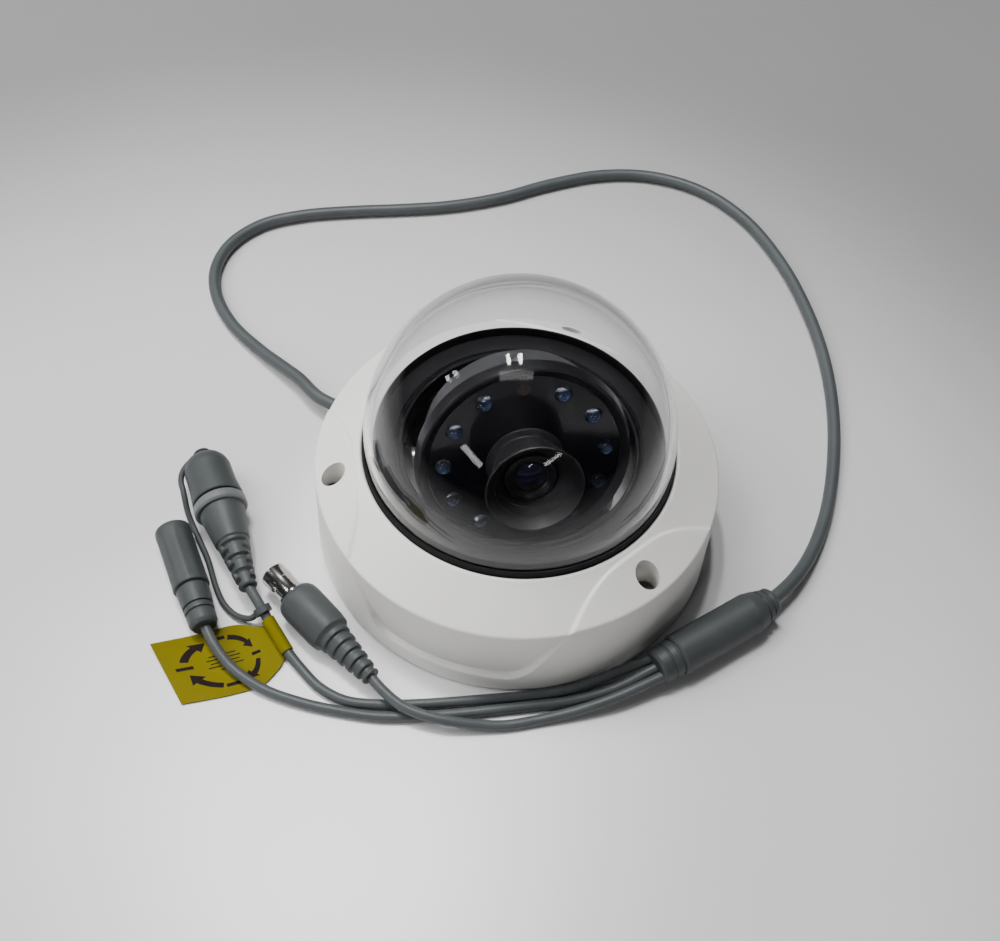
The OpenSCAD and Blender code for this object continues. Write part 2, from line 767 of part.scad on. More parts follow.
module video_barrel() {
  color("gainsboro") along(bnc_tip, bnc_heading) {
    difference() {
      union() {
        lathe([[0, 0], [bnc_d / 2 - 0.4, 0], [bnc_d / 2, 0.4], [bnc_d / 2, bnc_land_l],
               [bnc_neck_r, bnc_land_l + 0.2], [bnc_neck_r, bnc_barrel_l - 1.2],
               [5.5, bnc_barrel_l - 1.1], [5.5, bnc_barrel_l], [bnc_neck_r, bnc_barrel_l],
               [bnc_neck_r, bnc_barrel_l + 6], [0, bnc_barrel_l + 6]], 64);
        for (s = [0, 180]) rotate([0, 0, s + 60]) translate([0, 0, 7]) rotate([0, 90, 0])
          cylinder(r = 1, h = bnc_d / 2 + 0.75, $fn = 24);
      }
      rod(4.05, -1, bnc_barrel_l);
    }
  }
}

module video_insulator() {
  color("white") along(bnc_tip, bnc_heading) difference() {
    union() {
      rod(2.35, 2.4, bnc_barrel_l);
      rod(4, bnc_barrel_l - 2, bnc_barrel_l);
    }
    rod(0.72, 0, bnc_barrel_l + 1);
  }
}

module video_contact() {
  color("gold") along(bnc_tip, bnc_heading) difference() {
    rod(0.7, 2.6, bnc_barrel_l);
    rod(0.48, 0, 8);
  }
}

module power_socket_body() {
  color("#4b5154") along(dc_tip, dc_heading) difference() {
    lathe([[0, 0], [5.7, 0], [6.3, 0.5], [6.5, 2], [6.5, dc_body_l - 0.6], [5.2, dc_body_l - 0.5],
           [5.2, dc_body_l + 0.1], [5.8, dc_body_l + 0.2], [5.4, 34.5], [4.7, 34.6], [4.7, 35.2],
           [5.3, 35.3], [5.2, 37], [4.6, 37.1], [4.6, 37.7], [5.1, 37.8], [5, 41.5],
           [4.2, dc_l], [0, dc_l]], 96);
    rod(dc_bore_d / 2, -1, 9.5);
    rod(dc_pin_d / 2, 0, 12.5);
    rod(1.8, dc_l - 3, dc_l + 1);
  }
}

module power_socket_pin() {
  color("silver") along(dc_tip, dc_heading) {
    rod(dc_pin_d / 2, 1.6, 12.4);
    translate([0, 0, 1.6]) sphere(r = dc_pin_d / 2, $fn = 32);
  }
}

module switch_body() {
  z0 = cap_l + 1 + collar_l;
  color("#4d5356") along(switch_tip, switch_heading) difference() {
    union() {
      lathe([[0, z0], [8.2, z0], [8, z0 + 2], [6.3, 43], [5.9, 43.6], [0, 43.6]], 96);
      relief_profile(43.5, switch_l - 43.5, 5.7, 3.3, 5);
    }
    rod(1.8, switch_l - 3, 80);
  }
}

// The collar carries the hollow spigot that the cap pushes over.
module switch_collar() {
  z0 = cap_l + 1;
  color("#787f82") along(switch_tip, switch_heading) difference() {
    union() {
      lathe([[0, z0], [9.2, z0], [9.7, z0 + 0.6], [9.7, z0 + collar_l - 0.8],
             [9.1, z0 + collar_l], [0, z0 + collar_l]], 96);
      rod(7.15, 9, z0 + 1);
    }
    rod(3.08, 8, 12);
    rod(5.2, 11.5, 20);
  }
}

module switch_unit() {
  color("#202326") along(switch_tip, switch_heading) union() {
    rod(5.1, 15, 20);
    rod(1.6, 14, 15.1);
  }
}

module format_button() {
  color("#2c2f31") along(switch_tip, switch_heading) union() {
    rod(3, 7, 11.7);
    rod(4.6, 11.6, 12.8);
  }
}

// A moulded strap runs from the cap's tip over its shoulder to where the tether leaves it.
module switch_cap() {
  color("#474d50") along(switch_tip, switch_heading) difference() {
    union() {
      lathe([[0, 0], [2.6, 0], [3.2, 0.6], [3.2, 1.1], [2.7, 1.2], [2.7, 1.7], [3.2, 1.8],
             [3.2, 2.3], [2.7, 2.4], [2.7, 3], [4.4, 3.1], [6.6, 4.4], [8, 6.6], [8.6, 9],
             [8.7, 17], [9.2, cap_l - 2.6], [9.4, cap_l - 0.6], [9.1, cap_l], [0, cap_l]], 96);
      translate([0, 0.4, 12.5]) rotate([-90, 0, -90])
        rotate_extrude(angle = 75, $fn = 96) translate([11, 0]) circle(r = 1.1, $fn = 24);
    }
    rod(7.4, 8.6, cap_l + 1);
    rod(4, 4.4, 9);
  }
}

module cap_tether() {
  color("#474d50") cord(tether_route, 2.2, 8);
}

module tether_ring() {
  color("#474d50") along([-66.7, -73, 6.9], -35.5) rotate([0, 20.4, 0])
    tube(3.1, 1.85, -1.2, 1.2);
}

// A thin sheet between two edges, given as rows of [left, right] points.
module sheet(rows, t) {
  n = len(rows);
  points = [for (row = rows) for (p = row) for (z = [0, t]) p + [0, 0, z]];
  walls = [for (i = [0 : n - 2]) let (k = 4 * i) each [
    [k, k + 4, k + 6], [k, k + 6, k + 2], [k + 1, k + 7, k + 5], [k + 1, k + 3, k + 7],
    [k, k + 1, k + 5, k + 4], [k + 2, k + 6, k + 7, k + 3]]];
  last = 4 * (n - 1);
  polyhedron(points, concat(walls, [[0, 2, 3, 1], [last, last + 1, last + 3, last + 2]]));
}

module label_tag() {
  run = tag_fold_end - tag_fold_start;
  color("gold") {
    sheet(tag_edges, tag_t);
    translate(tag_fold_start) rotate([0, acos(run[2] / norm(run)), atan2(run[1], run[0])])
      tube(2.3, 1.85, 0, norm(run));
  }
}

base_housing();
top_cover();
cover_seal();
cover_screws();
clear_dome();
dome_gasket();
dome_clamp_ring();
clamp_ring_screws();
inner_liner();
pan_base();
pan_base_screws();
pan_retainer();
cable_gland();
inner_lead();
pan_turntable();
yoke_bracket();
yoke_screws();
pan_lock_screw();
tilt_cradle();
tilt_pivot_screws();
friction_washers();
roll_lock_screw();
module_shell();
rear_cover();
rear_cover_screws();
lamp_board();
infrared_lamps();
lamp_plate();
light_sensor();
lens_hood();
lens_holder();
lens_barrel();
front_lens();
infrared_filter();
image_sensor();
sensor_board();
processor_board();
board_spacers();
main_cable();
cable_splitter();
switch_pigtail();
power_pigtail();
video_pigtail();
video_plug_body();
video_barrel();
video_insulator();
video_contact();
power_socket_body();
power_socket_pin();
switch_body();
switch_collar();
switch_unit();
tether_ring();
label_tag();
format_button();
switch_cap();
cap_tether();
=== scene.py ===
import math

import bmesh
import bpy
import numpy as np
from mathutils import Matrix, Vector


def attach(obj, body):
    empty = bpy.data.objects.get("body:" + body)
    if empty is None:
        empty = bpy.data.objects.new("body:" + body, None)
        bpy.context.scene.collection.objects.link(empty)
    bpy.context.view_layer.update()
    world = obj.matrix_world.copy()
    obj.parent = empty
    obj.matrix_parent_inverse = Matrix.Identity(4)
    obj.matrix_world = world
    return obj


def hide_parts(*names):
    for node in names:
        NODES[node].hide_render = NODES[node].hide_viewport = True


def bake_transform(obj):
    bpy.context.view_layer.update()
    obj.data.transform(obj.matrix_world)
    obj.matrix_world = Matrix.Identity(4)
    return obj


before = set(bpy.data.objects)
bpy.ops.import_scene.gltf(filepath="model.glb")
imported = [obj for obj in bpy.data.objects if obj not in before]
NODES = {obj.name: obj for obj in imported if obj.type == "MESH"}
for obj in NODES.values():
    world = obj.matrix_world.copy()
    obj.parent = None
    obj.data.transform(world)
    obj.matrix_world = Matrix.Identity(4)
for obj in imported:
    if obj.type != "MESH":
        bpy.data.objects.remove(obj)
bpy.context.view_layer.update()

MM = 0.001

# ---------------------------------------------------------------- camera

CAMERA_PLACE = Vector((0.0700, -0.2528, 0.3879))
CAMERA_RIGHT = Vector((0.9406, 0.3374, 0.0373))
CAMERA_UP = Vector((-0.2937, 0.7537, 0.5880))
CAMERA_BACK = Vector((0.1703, -0.5640, 0.8080))
LENS_MM, SENSOR_MM, NEAR_CLIP = 45, 36, 0.01


def make_camera():
    """The camera, at the angle from which the part was photographed."""
    data = bpy.data.cameras.new("main_camera")
    data.lens = LENS_MM
    data.sensor_width = SENSOR_MM
    data.clip_start = NEAR_CLIP
    camera = bpy.data.objects.new("main_camera", data)
    bpy.context.scene.collection.objects.link(camera)
    turn = Matrix((CAMERA_RIGHT, CAMERA_UP, CAMERA_BACK)).transposed()
    camera.matrix_world = Matrix.Translation(CAMERA_PLACE) @ turn.to_4x4()
    bpy.context.scene.camera = camera


make_camera()

# ---------------------------------------------------------------- shapes

NEARLY_STRAIGHT = 1.5  # half a corner's angle, in radians, above which it stays as it is
CORNER_SHARE = 0.45  # the most of an edge that a rounded corner may take
MERGE_MM, SLIVER_MM = 1e-4, 1e-5
SMOOTH_STEPS = 24  # points on a smooth line between two route points


def unit(v):
    """The vector made one long. A vector with no length stays as it is."""
    return v / max(np.linalg.norm(v), 1e-12)


def rounded(points, radius=0.3, steps=4, closed=False):
    """An outline of (r, z) or (r, z, own radius) with its corners turned into arcs."""
    out = []
    count = len(points)
    for i, point in enumerate(points):
        b = np.array(point[:2], float)
        if not closed and i in (0, count - 1):
            out.append(b)
            continue
        to_a = np.array(points[i - 1][:2], float) - b
        to_c = np.array(points[(i + 1) % count][:2], float) - b
        u, v = unit(to_a), unit(to_c)
        half = math.acos(max(-1, min(1, float(u @ v)))) / 2
        wanted = point[2] if len(point) > 2 else radius
        if half > NEARLY_STRAIGHT or wanted <= 0:
            out.append(b)
            continue
        room = CORNER_SHARE * min(np.linalg.norm(to_a), np.linalg.norm(to_c))
        cut = min(wanted / math.tan(half), room)
        reach = cut / math.cos(half)
        centre = b + unit(u + v) * reach
        arm = b + u * cut - centre
        end = b + v * cut - centre
        sweep = math.atan2(arm[0] * end[1] - arm[1] * end[0], arm @ end)
        for k in range(steps + 1):
            a = sweep * k / steps
            turned = (arm[0] * math.cos(a) - arm[1] * math.sin(a),
                      arm[0] * math.sin(a) + arm[1] * math.cos(a))
            out.append(centre + turned)
    return [tuple(p) for p in out]


def resampled(points, step):
    """The same outline with points no further apart than step."""
    out = [points[0]]
    for a, b in zip(points, points[1:]):
        pieces = max(1, math.ceil(math.dist(a, b) / step))
        out += [(a[0] + (b[0] - a[0]) * k / pieces, a[1] + (b[1] - a[1]) * k / pieces)
                for k in range(1, pieces + 1)]
    return out


def lathe_rows(profile, columns=96, shape=None):
    """Rings of points about +Z. shape(angle, z, r) may give each point its own radius."""
    angle = np.linspace(0, 2 * math.pi, columns, endpoint=False)
    rows = []
    for r, z in profile:
        radius = np.full(columns, float(r)) if shape is None else shape(angle, z, r)
        rows.append(np.stack([radius * np.cos(angle), radius * np.sin(angle),
                              np.full(columns, float(z))], axis=1))
    return np.array(rows)


def skin_mesh(name, rows, loop=False, caps=True, place=Matrix.Identity(4), sharp=35):
    """A mesh over rings of points in millimetres. loop joins the last ring to the first."""
    count, columns = rows.shape[:2]
    points = rows.reshape(-1, 3)
    faces = []
    for i in range(count if loop else count - 1):
        a, b = i * columns, ((i + 1) % count) * columns
        faces += [(a + k, a + (k + 1) % columns, b + (k + 1) % columns, b + k)
                  for k in range(columns)]
    if caps and not loop:
        faces.append(tuple(range(columns - 1, -1, -1)))
        faces.append(tuple((count - 1) * columns + k for k in range(columns)))
    return raw_mesh(name, points, faces, place, sharp)


def raw_mesh(name, points, faces, place=Matrix.Identity(4), sharp=35):
    """A cleaned mesh in metres from points in millimetres, with edges sharp over an angle."""
    mesh = bpy.data.meshes.new(name)
    mesh.from_pydata([tuple(p) for p in points], [], faces)
    work = bmesh.new()
    work.from_mesh(mesh)
    bmesh.ops.remove_doubles(work, verts=work.verts, dist=MERGE_MM)
    bmesh.ops.dissolve_degenerate(work, edges=work.edges, dist=SLIVER_MM)
    bmesh.ops.recalc_face_normals(work, faces=work.faces)
    work.to_mesh(mesh)
    work.free()
    mesh.transform(Matrix.Scale(MM, 4) @ place)
    mesh.polygons.foreach_set("use_smooth", [True] * len(mesh.polygons))
    mesh.set_sharp_from_angle(angle=math.radians(sharp))
    return mesh


def joined(name, *meshes):
    """One mesh of several, which keep their own faces and sharp edges."""
    work = bmesh.new()
    for mesh in meshes:
        work.from_mesh(mesh)
    out = bpy.data.meshes.new(name)
    work.to_mesh(out)
    work.free()
    return out


def piece(name, mesh, body, slot, material, *nodes):
    """An object that rides a body and may stand for CAD nodes. slot is not used."""
    obj = bpy.data.objects.new(name, mesh)
    bpy.context.scene.collection.objects.link(obj)
    obj.data.materials.clear()
    obj.data.materials.append(material)
    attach(obj, body)
    if nodes:
        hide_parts(*nodes)
    return obj


def turned(name, profile, place, body, slot, material, *nodes, radius=0.25, columns=96,
           loop=False, shape=None, sharp=35):
    """A turned piece: the outline is rounded, spun about +Z and put in place."""
    outline = rounded(profile, radius, closed=loop)
    rows = lathe_rows(outline, columns, shape)
    mesh = skin_mesh(name, rows, loop=loop, place=place, sharp=sharp)
    return piece(name, mesh, body, slot, material, *nodes)


def smooth_line(points, step=1.0):
    """A smooth line through the points, in millimetres, with evenly spaced points."""
    p = np.array(points, float)
    p = np.vstack([2 * p[0] - p[1], p, 2 * p[-1] - p[-2]])
    knots = np.concatenate([[0], np.cumsum(np.linalg.norm(np.diff(p, axis=0), axis=1) ** 0.5)])
    line = []
    for i in range(1, len(p) - 2):
        for t in np.linspace(knots[i], knots[i + 1], SMOOTH_STEPS, endpoint=False):
            a = [((knots[i + k] - t) * p[i + k - 1] + (t - knots[i + k - 1]) * p[i + k])
                 / (knots[i + k] - knots[i + k - 1]) for k in range(3)]
            b = [((knots[i + k + 1] - t) * a[k] + (t - knots[i + k - 1]) * a[k + 1])
                 / (knots[i + k + 1] - knots[i + k - 1]) for k in range(2)]
            line.append(((knots[i + 1] - t) * b[0] + (t - knots[i]) * b[1])
                        / (knots[i + 1] - knots[i]))
    line = np.array(line + [p[-2]])
    along = np.concatenate([[0], np.cumsum(np.linalg.norm(np.diff(line, axis=0), axis=1))])
    at = np.linspace(0, along[-1], int(along[-1] / step) + 1)
    return np.stack([np.interp(at, along, line[:, k]) for k in range(3)], axis=1)


def tube_rows(line, radius, sides=20):
    """Rings round a line that is never vertical."""
    heading = np.gradient(line, axis=0)
    heading /= np.linalg.norm(heading, axis=1)[:, None]
    side = np.cross(heading, (0, 0, 1))
    side /= np.linalg.norm(side, axis=1)[:, None]
    up = np.cross(side, heading)
    turn = np.linspace(0, 2 * math.pi, sides, endpoint=False)
    ring = np.cos(turn)[None, :, None] * side[:, None] + np.sin(turn)[None, :, None] * up[:, None]
    return line[:, None] + radius * ring


def along(point, heading):
    """+Z turned to a horizontal heading in degrees, at a point in millimetres."""
    return (Matrix.Translation(point) @ Matrix.Rotation(math.radians(heading), 4, "Z")
            @ Matrix.Rotation(math.radians(90), 4, "Y"))


# ---------------------------------------------------------------- materials

PLASTIC_IOR = 1.5


def node(tree, kind, **values):
    """A new shader node with some of its sockets or settings given."""
    made = tree.nodes.new(kind)
    for key, value in values.items():
        if key in made.inputs:
            made.inputs[key].default_value = value
        else:
            setattr(made, key, value)
    return made


def surface(name, colour, rough=0.45, metal=0.0, spread=0.12, patch=45.0, grain=1400.0,
            relief=0.00004, **sockets):
    """A material whose colour, roughness and relief vary over the object."""
    material = bpy.data.materials.new(name)
    material.use_nodes = True
    tree = material.node_tree
    link = tree.links.new
    shader = tree.nodes["Principled BSDF"]
    place = node(tree, "ShaderNodeTexCoord")
    source = place.outputs["Object"]
    patches = node(tree, "ShaderNodeTexNoise", Scale=patch, Detail=4.0, Roughness=0.6)
    fine = node(tree, "ShaderNodeTexNoise", Scale=grain, Detail=2.0, Roughness=0.55)
    link(source, patches.inputs["Vector"])
    link(source, fine.inputs["Vector"])
    ramp = node(tree, "ShaderNodeValToRGB")
    ramp.color_ramp.elements[0].position = 0.3
    ramp.color_ramp.elements[1].position = 0.7
    ramp.color_ramp.elements[0].color = (*[c * (1 - spread) for c in colour], 1)
    ramp.color_ramp.elements[1].color = (*[min(1, c * (1 + spread)) for c in colour], 1)
    link(patches.outputs["Fac"], ramp.inputs["Fac"])
    link(ramp.outputs["Color"], shader.inputs["Base Color"])
    gloss = node(tree, "ShaderNodeMapRange")
    gloss.inputs["To Min"].default_value = max(0.02, rough * 0.82)
    gloss.inputs["To Max"].default_value = min(1.0, rough * 1.18)
    link(fine.outputs["Fac"], gloss.inputs["Value"])
    link(gloss.outputs["Result"], shader.inputs["Roughness"])
    if relief:
        bump = node(tree, "ShaderNodeBump", Distance=relief, Strength=1.0)
        link(fine.outputs["Fac"], bump.inputs["Height"])
        link(bump.outputs["Normal"], shader.inputs["Normal"])
    shader.inputs["Metallic"].default_value = metal
    for key, value in sockets.items():
        shader.inputs[key.replace("_", " ")].default_value = value
    return material


def clear(name, tint, shade, mirror=1.0):
    """Clear, smooth plastic. shade is what its shadow lets by, mirror what it reflects."""
    material = surface(name, tint, rough=0.03, spread=0.01, patch=60, relief=0, IOR=PLASTIC_IOR,
                       Transmission_Weight=1.0)
    tree = material.node_tree
    shader = tree.nodes["Principled BSDF"]
    for entry in list(shader.inputs["Roughness"].links):
        tree.links.remove(entry)
    shader.inputs["Roughness"].default_value = 0.0
    shader.inputs["Specular Tint"].default_value = (mirror, mirror, mirror, 1)
    passing = node(tree, "ShaderNodeBsdfTransparent")
    passing.inputs["Color"].default_value = (*shade, 1)
    mix = node(tree, "ShaderNodeMixShader")
    rays = node(tree, "ShaderNodeLightPath")
    tree.links.new(rays.outputs["Is Shadow Ray"], mix.inputs["Fac"])
    tree.links.new(shader.outputs["BSDF"], mix.inputs[1])
    tree.links.new(passing.outputs["BSDF"], mix.inputs[2])
    tree.links.new(mix.outputs["Shader"], tree.nodes["Material Output"].inputs["Surface"])
    return material


paint = surface("paint", (0.80, 0.79, 0.755), 0.42, spread=0.025, patch=22, grain=1500,
                relief=0.000035)
cast = surface("cast_metal", (0.42, 0.42, 0.42), 0.5, metal=0.9, patch=90, grain=900,
               relief=0.00005)
steel = surface("screw_steel", (0.62, 0.61, 0.59), 0.28, metal=1.0, patch=300, grain=2500,
                relief=0.000012)
zinc = surface("zinc_plate", (0.55, 0.56, 0.58), 0.35, metal=1.0, patch=120, grain=1200,
               relief=0.00002)
rubber = surface("black_rubber", (0.006, 0.006, 0.007), 0.75, spread=0.3, patch=160,
                 grain=1800, Specular_IOR_Level=0.25)
liner_black = surface("liner_black", (0.002, 0.002, 0.0025), 0.45, spread=0.3, patch=70,
                      grain=2200, relief=0.00002, Specular_IOR_Level=0.12)
mech_black = surface("mechanism_plastic", (0.03, 0.031, 0.033), 0.45, spread=0.2, patch=80)
gloss_black = surface("gloss_black", (0.007, 0.007, 0.008), 0.3, spread=0.3, patch=55,
                      grain=900, relief=0.000004, Coat_Weight=0.2, Coat_Roughness=0.12)
plate_black = surface("plate_black", (0.004, 0.004, 0.006), 0.2, spread=0.3, patch=55,
                      grain=700, relief=0.000004, Coat_Weight=0.3, Coat_Roughness=0.06)
hood_black = surface("hood_black", (0.005, 0.005, 0.006), 0.5, spread=0.25, patch=90,
                     grain=1500, relief=0.00002)
barrel_black = surface("barrel_black", (0.012, 0.012, 0.014), 0.3, metal=0.3, spread=0.25,
                       patch=140, grain=1900, relief=0.00001)
lens_coated = surface("lens_coated", (0.012, 0.010, 0.030), 0.04, spread=0.6, patch=60,
                      relief=0, Coat_Weight=1.0, Coat_Roughness=0.02)
lamp_clear = clear("lamp_clear", (0.74, 0.80, 0.93), (0.8, 0.85, 0.97))
lamp_cup = surface("lamp_cup", (0.17, 0.20, 0.27), 0.14, metal=0.8, spread=0.9, patch=1400)
lamp_chip = surface("lamp_chip", (0.85, 0.90, 0.98), 0.2, spread=0.1, patch=900)
board = surface("board_green", (0.015, 0.07, 0.035), 0.35, spread=0.3, patch=400)
brass = surface("brass", (0.72, 0.5, 0.2), 0.3, metal=1.0, patch=200, relief=0.00001)
filter_red = surface("filter_red", (0.35, 0.08, 0.07), 0.1, spread=0.2, patch=200, relief=0)
sensor_dark = surface("sensor_dark", (0.03, 0.024, 0.02), 0.3, spread=0.3, patch=600)
cable_grey = surface("cable_grey", (0.062, 0.070, 0.073), 0.46, spread=0.10, patch=60,
                     grain=1300, relief=0.00005)
plug_grey = surface("plug_grey", (0.046, 0.052, 0.054), 0.5, spread=0.12, patch=75,
                    grain=1100, relief=0.00006)
collar_light = surface("collar_light", (0.125, 0.134, 0.135), 0.42, spread=0.1, patch=80,
                       grain=1400)
nickel = surface("nickel", (0.75, 0.73, 0.70), 0.16, metal=1.0, spread=0.12, patch=120,
                 grain=1500, relief=0.000006)
white_plastic = surface("white_plastic", (0.72, 0.71, 0.66), 0.4, spread=0.05, patch=150)
gold = surface("contact_gold", (0.85, 0.62, 0.25), 0.2, metal=1.0, patch=200, relief=0)
tag_yellow = surface("tag_yellow", (0.15, 0.125, 0.0), 0.5, spread=0.10, patch=35,
                     grain=500, relief=0.00003, Specular_IOR_Level=0.06)
ink = surface("tag_ink", (0.012, 0.006, 0.004), 0.6, spread=0.3, patch=200, relief=0,
              Specular_IOR_Level=0.1)
dome_clear = clear("dome_clear", (0.97, 0.965, 0.975), (0.93, 0.93, 0.935), mirror=0.3)

# ---------------------------------------------------------------- cords

MAIN_D, PIGTAIL_D, TETHER_D = 5.0, 3.6, 2.2
MAIN_ROUTE = [
    (-78, 18, 8), (-88.7, 20.5, 7.6), (-100, 27, 6.6), (-111, 32, 5), (-121, 36.5, 3.6),
    (-139, 46, 2.5), (-152, 57.5, 2.5), (-160, 71, 2.5), (-161.5, 87.5, 2.5),
    (-154.5, 104, 2.5), (-141.5, 115.5, 2.5), (-122, 126.5, 2.5), (-102, 136, 2.5),
    (-82, 146.5, 2.5), (-63, 160, 2.5), (-45, 177, 2.5), (-25, 192, 2.5), (-3.5, 200, 2.5),
    (20.5, 199.5, 2.5), (44, 188.5, 2.5), (65.5, 167.5, 2.5), (82, 143.5, 2.5),
    (94.5, 118.5, 2.5), (103, 93, 2.5), (108, 68, 2.5), (110, 43.5, 2.8), (108.5, 23, 4),
    (104.5, 7, 6), (98, -6.9, 7.5)]
SWITCH_ROUTE = [
    (64.6, -43.1, 7.5), (52.5, -53.5, 5), (42.4, -61.4, 2.8), (33.4, -66.5, 1.8),
    (15, -75.5, 1.8), (-3, -84, 1.8), (-15.5, -89, 1.8), (-27.5, -92, 1.8),
    (-37.5, -90.7, 1.8), (-46.5, -86.5, 2.2), (-54.3, -82, 3.4), (-62.5, -76, 5),
    (-69.5, -71, 8.2), (-74.9, -67.2, 9.8)]
POWER_ROUTE = [
    (67.5, -45.5, 7.5), (56, -57.2, 5), (44.5, -65, 2.8), (28, -73.5, 1.8),
    (10, -82.8, 1.8), (-2.5, -88.6, 1.8), (-15, -93.4, 1.8), (-28, -96.2, 1.8),
    (-41.5, -98, 2), (-55.5, -98, 2.4), (-68, -95, 3.3), (-77, -90, 5.2),
    (-83.4, -84.6, 6.6)]
VIDEO_ROUTE = [
    (70.5, -47.8, 7.5), (58, -60, 5.8), (47, -68.3, 3.4), (35, -76, 1.8), (26, -81.3, 1.8),
    (17, -85, 3), (5, -88.6, 5.3), (-7, -89.2, 6.2), (-15, -86.9, 7), (-23.3, -82.6, 7.8)]
TETHER_ROUTE = [
    (-116, -38.05, 9.8), (-115.2, -38.95, 9.7), (-113.2, -41.7, 8.4), (-110.6, -45.15, 5.6),
    (-107, -48.65, 3), (-102.6, -52.6, 1.7), (-96, -58.8, 1.6), (-88, -68, 1.6),
    (-82, -73.3, 1.7), (-75.8, -75.9, 2.1), (-70.2, -75.9, 3.9), (-68.7, -74.7, 5.25)]
GLAND_AZ, GLAND_Z = 167, 8
SPLITTER = along((98.7, -6, 7.5), 231.7)
VIDEO_PLUG = along((-69.6, -58.7, 7.8), -27.3)
POWER_SOCKET = along((-111.8, -54.5, 6.6), -46.7)
SWITCH = along((-116.7, -21.6, 9.8), -47.5)
GLAND = along((0, 0, GLAND_Z), GLAND_AZ)
INTO_CAP, INTO_RING = 0.3, 0.7


def make_cord(name, route, diameter, slot, material, cad_node, sides=20):
    """A cord along its route, nowhere lower than the table, and its centre line."""
    line = smooth_line(route)
    line[:, 2] = np.maximum(line[:, 2], diameter / 2)
    mesh = skin_mesh(name, tube_rows(line, diameter / 2, sides))
    obj = piece(name, mesh, "root", slot, material, cad_node)
    return obj, line


main_cord, main_line = make_cord(
    "cord_main", MAIN_ROUTE, MAIN_D, "cable_jacket", cable_grey, "main_cable", 28)
switch_cord, switch_line = make_cord(
    "cord_switch", SWITCH_ROUTE, PIGTAIL_D, "cable_jacket", cable_grey, "switch_pigtail")
power_cord, power_line = make_cord(
    "cord_power", POWER_ROUTE, PIGTAIL_D, "cable_jacket", cable_grey, "power_pigtail")
video_cord, video_line = make_cord(
    "cord_video", VIDEO_ROUTE, PIGTAIL_D, "cable_jacket", cable_grey, "video_pigtail")


def pushed_in(line, start, end):
    """The line made longer at each end, so that it goes into the piece there."""
    first, last = line[0] - line[1], line[-1] - line[-2]
    return np.vstack([line[0] + start * first / np.linalg.norm(first), line,
                      line[-1] + end * last / np.linalg.norm(last)])


def make_tether():
    """The cap's strap and its centre line."""
    line = smooth_line(TETHER_ROUTE, 0.8)
    line[:, 2] = np.maximum(line[:, 2], TETHER_D / 2)
    line = pushed_in(line, INTO_CAP, INTO_RING)
    mesh = skin_mesh("tether_strap", tube_rows(line, TETHER_D / 2, 16))
    obj = bpy.data.objects.new("tether_strap", mesh)
    bpy.context.scene.collection.objects.link(obj)
    obj.data.materials.append(plug_grey)
    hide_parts("cap_tether")
    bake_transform(obj)
    return obj, line


tether, tether_line = make_tether()


def slotted(z0, z1, rows, depth):
    """A cord relief with short slots, staggered from row to row."""
    end_slope, end_margin, side_slope, side_margin = 5, 0.7, 4, 0.55

    def shape(angle, z, r):
        pitch = (z1 - z0) / rows
        if not z0 < z < z1:
            return np.full(len(angle), float(r))
        row, part = divmod((z - z0) / pitch, 1)
        across = np.clip((0.5 - abs(part - 0.5)) * end_slope - end_margin, 0, 1)
        wave = np.cos(2 * angle + (math.pi if row % 2 else 0))
        open_here = np.clip((wave + side_margin) * side_slope, 0, 1)
        return r - depth * across * open_here
    return shape


def make_splitter():
    """The moulded body where the main cable divides, with ribs and four dimples."""
    r, length = 7.5, 51.2
    profile = rounded([
        (0, 0), (4.6, 0), (5.4, 1), (5.4, 2.4), (4.9, 2.5), (4.9, 3.1), (5.8, 3.2), (6.2, 5.2),
        (5.6, 5.3), (5.6, 5.9), (6.6, 6), (r, 10), (r, length - 9.5), (r - 0.6, length - 8.5),
        (r - 1.2, length - 8.4), (r - 1.2, length - 7.7), (r - 0.7, length - 7.6),
        (r - 0.9, length - 5.2), (r - 1.4, length - 5.1), (r - 1.4, length - 4.4),
        (r - 1, length - 4.3), (r - 1.3, length - 1), (r - 2.2, length), (0, length)], 0.35)
    profile = resampled(profile, 0.5)
    dimples = [(17, -2.05), (34, -2.05), (17, -1.1), (34, -1.1)]
    depth, reach, slope = 0.45, 1.6, 0.6

    def shape(angle, z, radius):
        out = np.full(len(angle), float(radius))
        for dimple_z, dimple_angle in dimples:
            turn = (angle - dimple_angle + math.pi) % (2 * math.pi) - math.pi
            away = np.hypot((z - dimple_z), turn * radius)
            out -= depth * np.clip(reach - away, 0, slope) / slope
        return out
    rows = lathe_rows(profile, 128, shape)
    return piece("splitter_body", skin_mesh("splitter_body", rows, place=SPLITTER), "root",
                 "connector_grey", plug_grey, "cable_splitter")


def make_video_plug():
    """The grip of the video connector and its ringed cord relief."""
    z0, z1, z2 = 12.6, 33.6, 54.3
    rings, pitch, taper = 5, 3.85, 0.52
    profile = [(0, z0), (5.7, z0), (6.8, z0 + 0.6, 0.8), (7.5, z0 + 2, 1.5), (7.75, z0 + 4.5, 3),
               (7.6, z1 - 4, 2), (7.2, z1 - 1, 1), (6.2, z1, 0.5)]
    for i in range(rings):
        z = z1 + 0.6 + pitch * i
        r = 5.9 - taper * i
        profile += [(r, z), (r - 0.05, z + 1.75, 0.5), (r - 1.05, z + 2.0), (r - 1.1, z + 3.5),
                    (r - 0.5, z + 3.75, 0.4)]
    profile += [(3.25, z2, 0.4), (0, z2)]
    return turned("video_plug", profile, VIDEO_PLUG, "root", "connector_grey", plug_grey,
                  "video_plug_body")


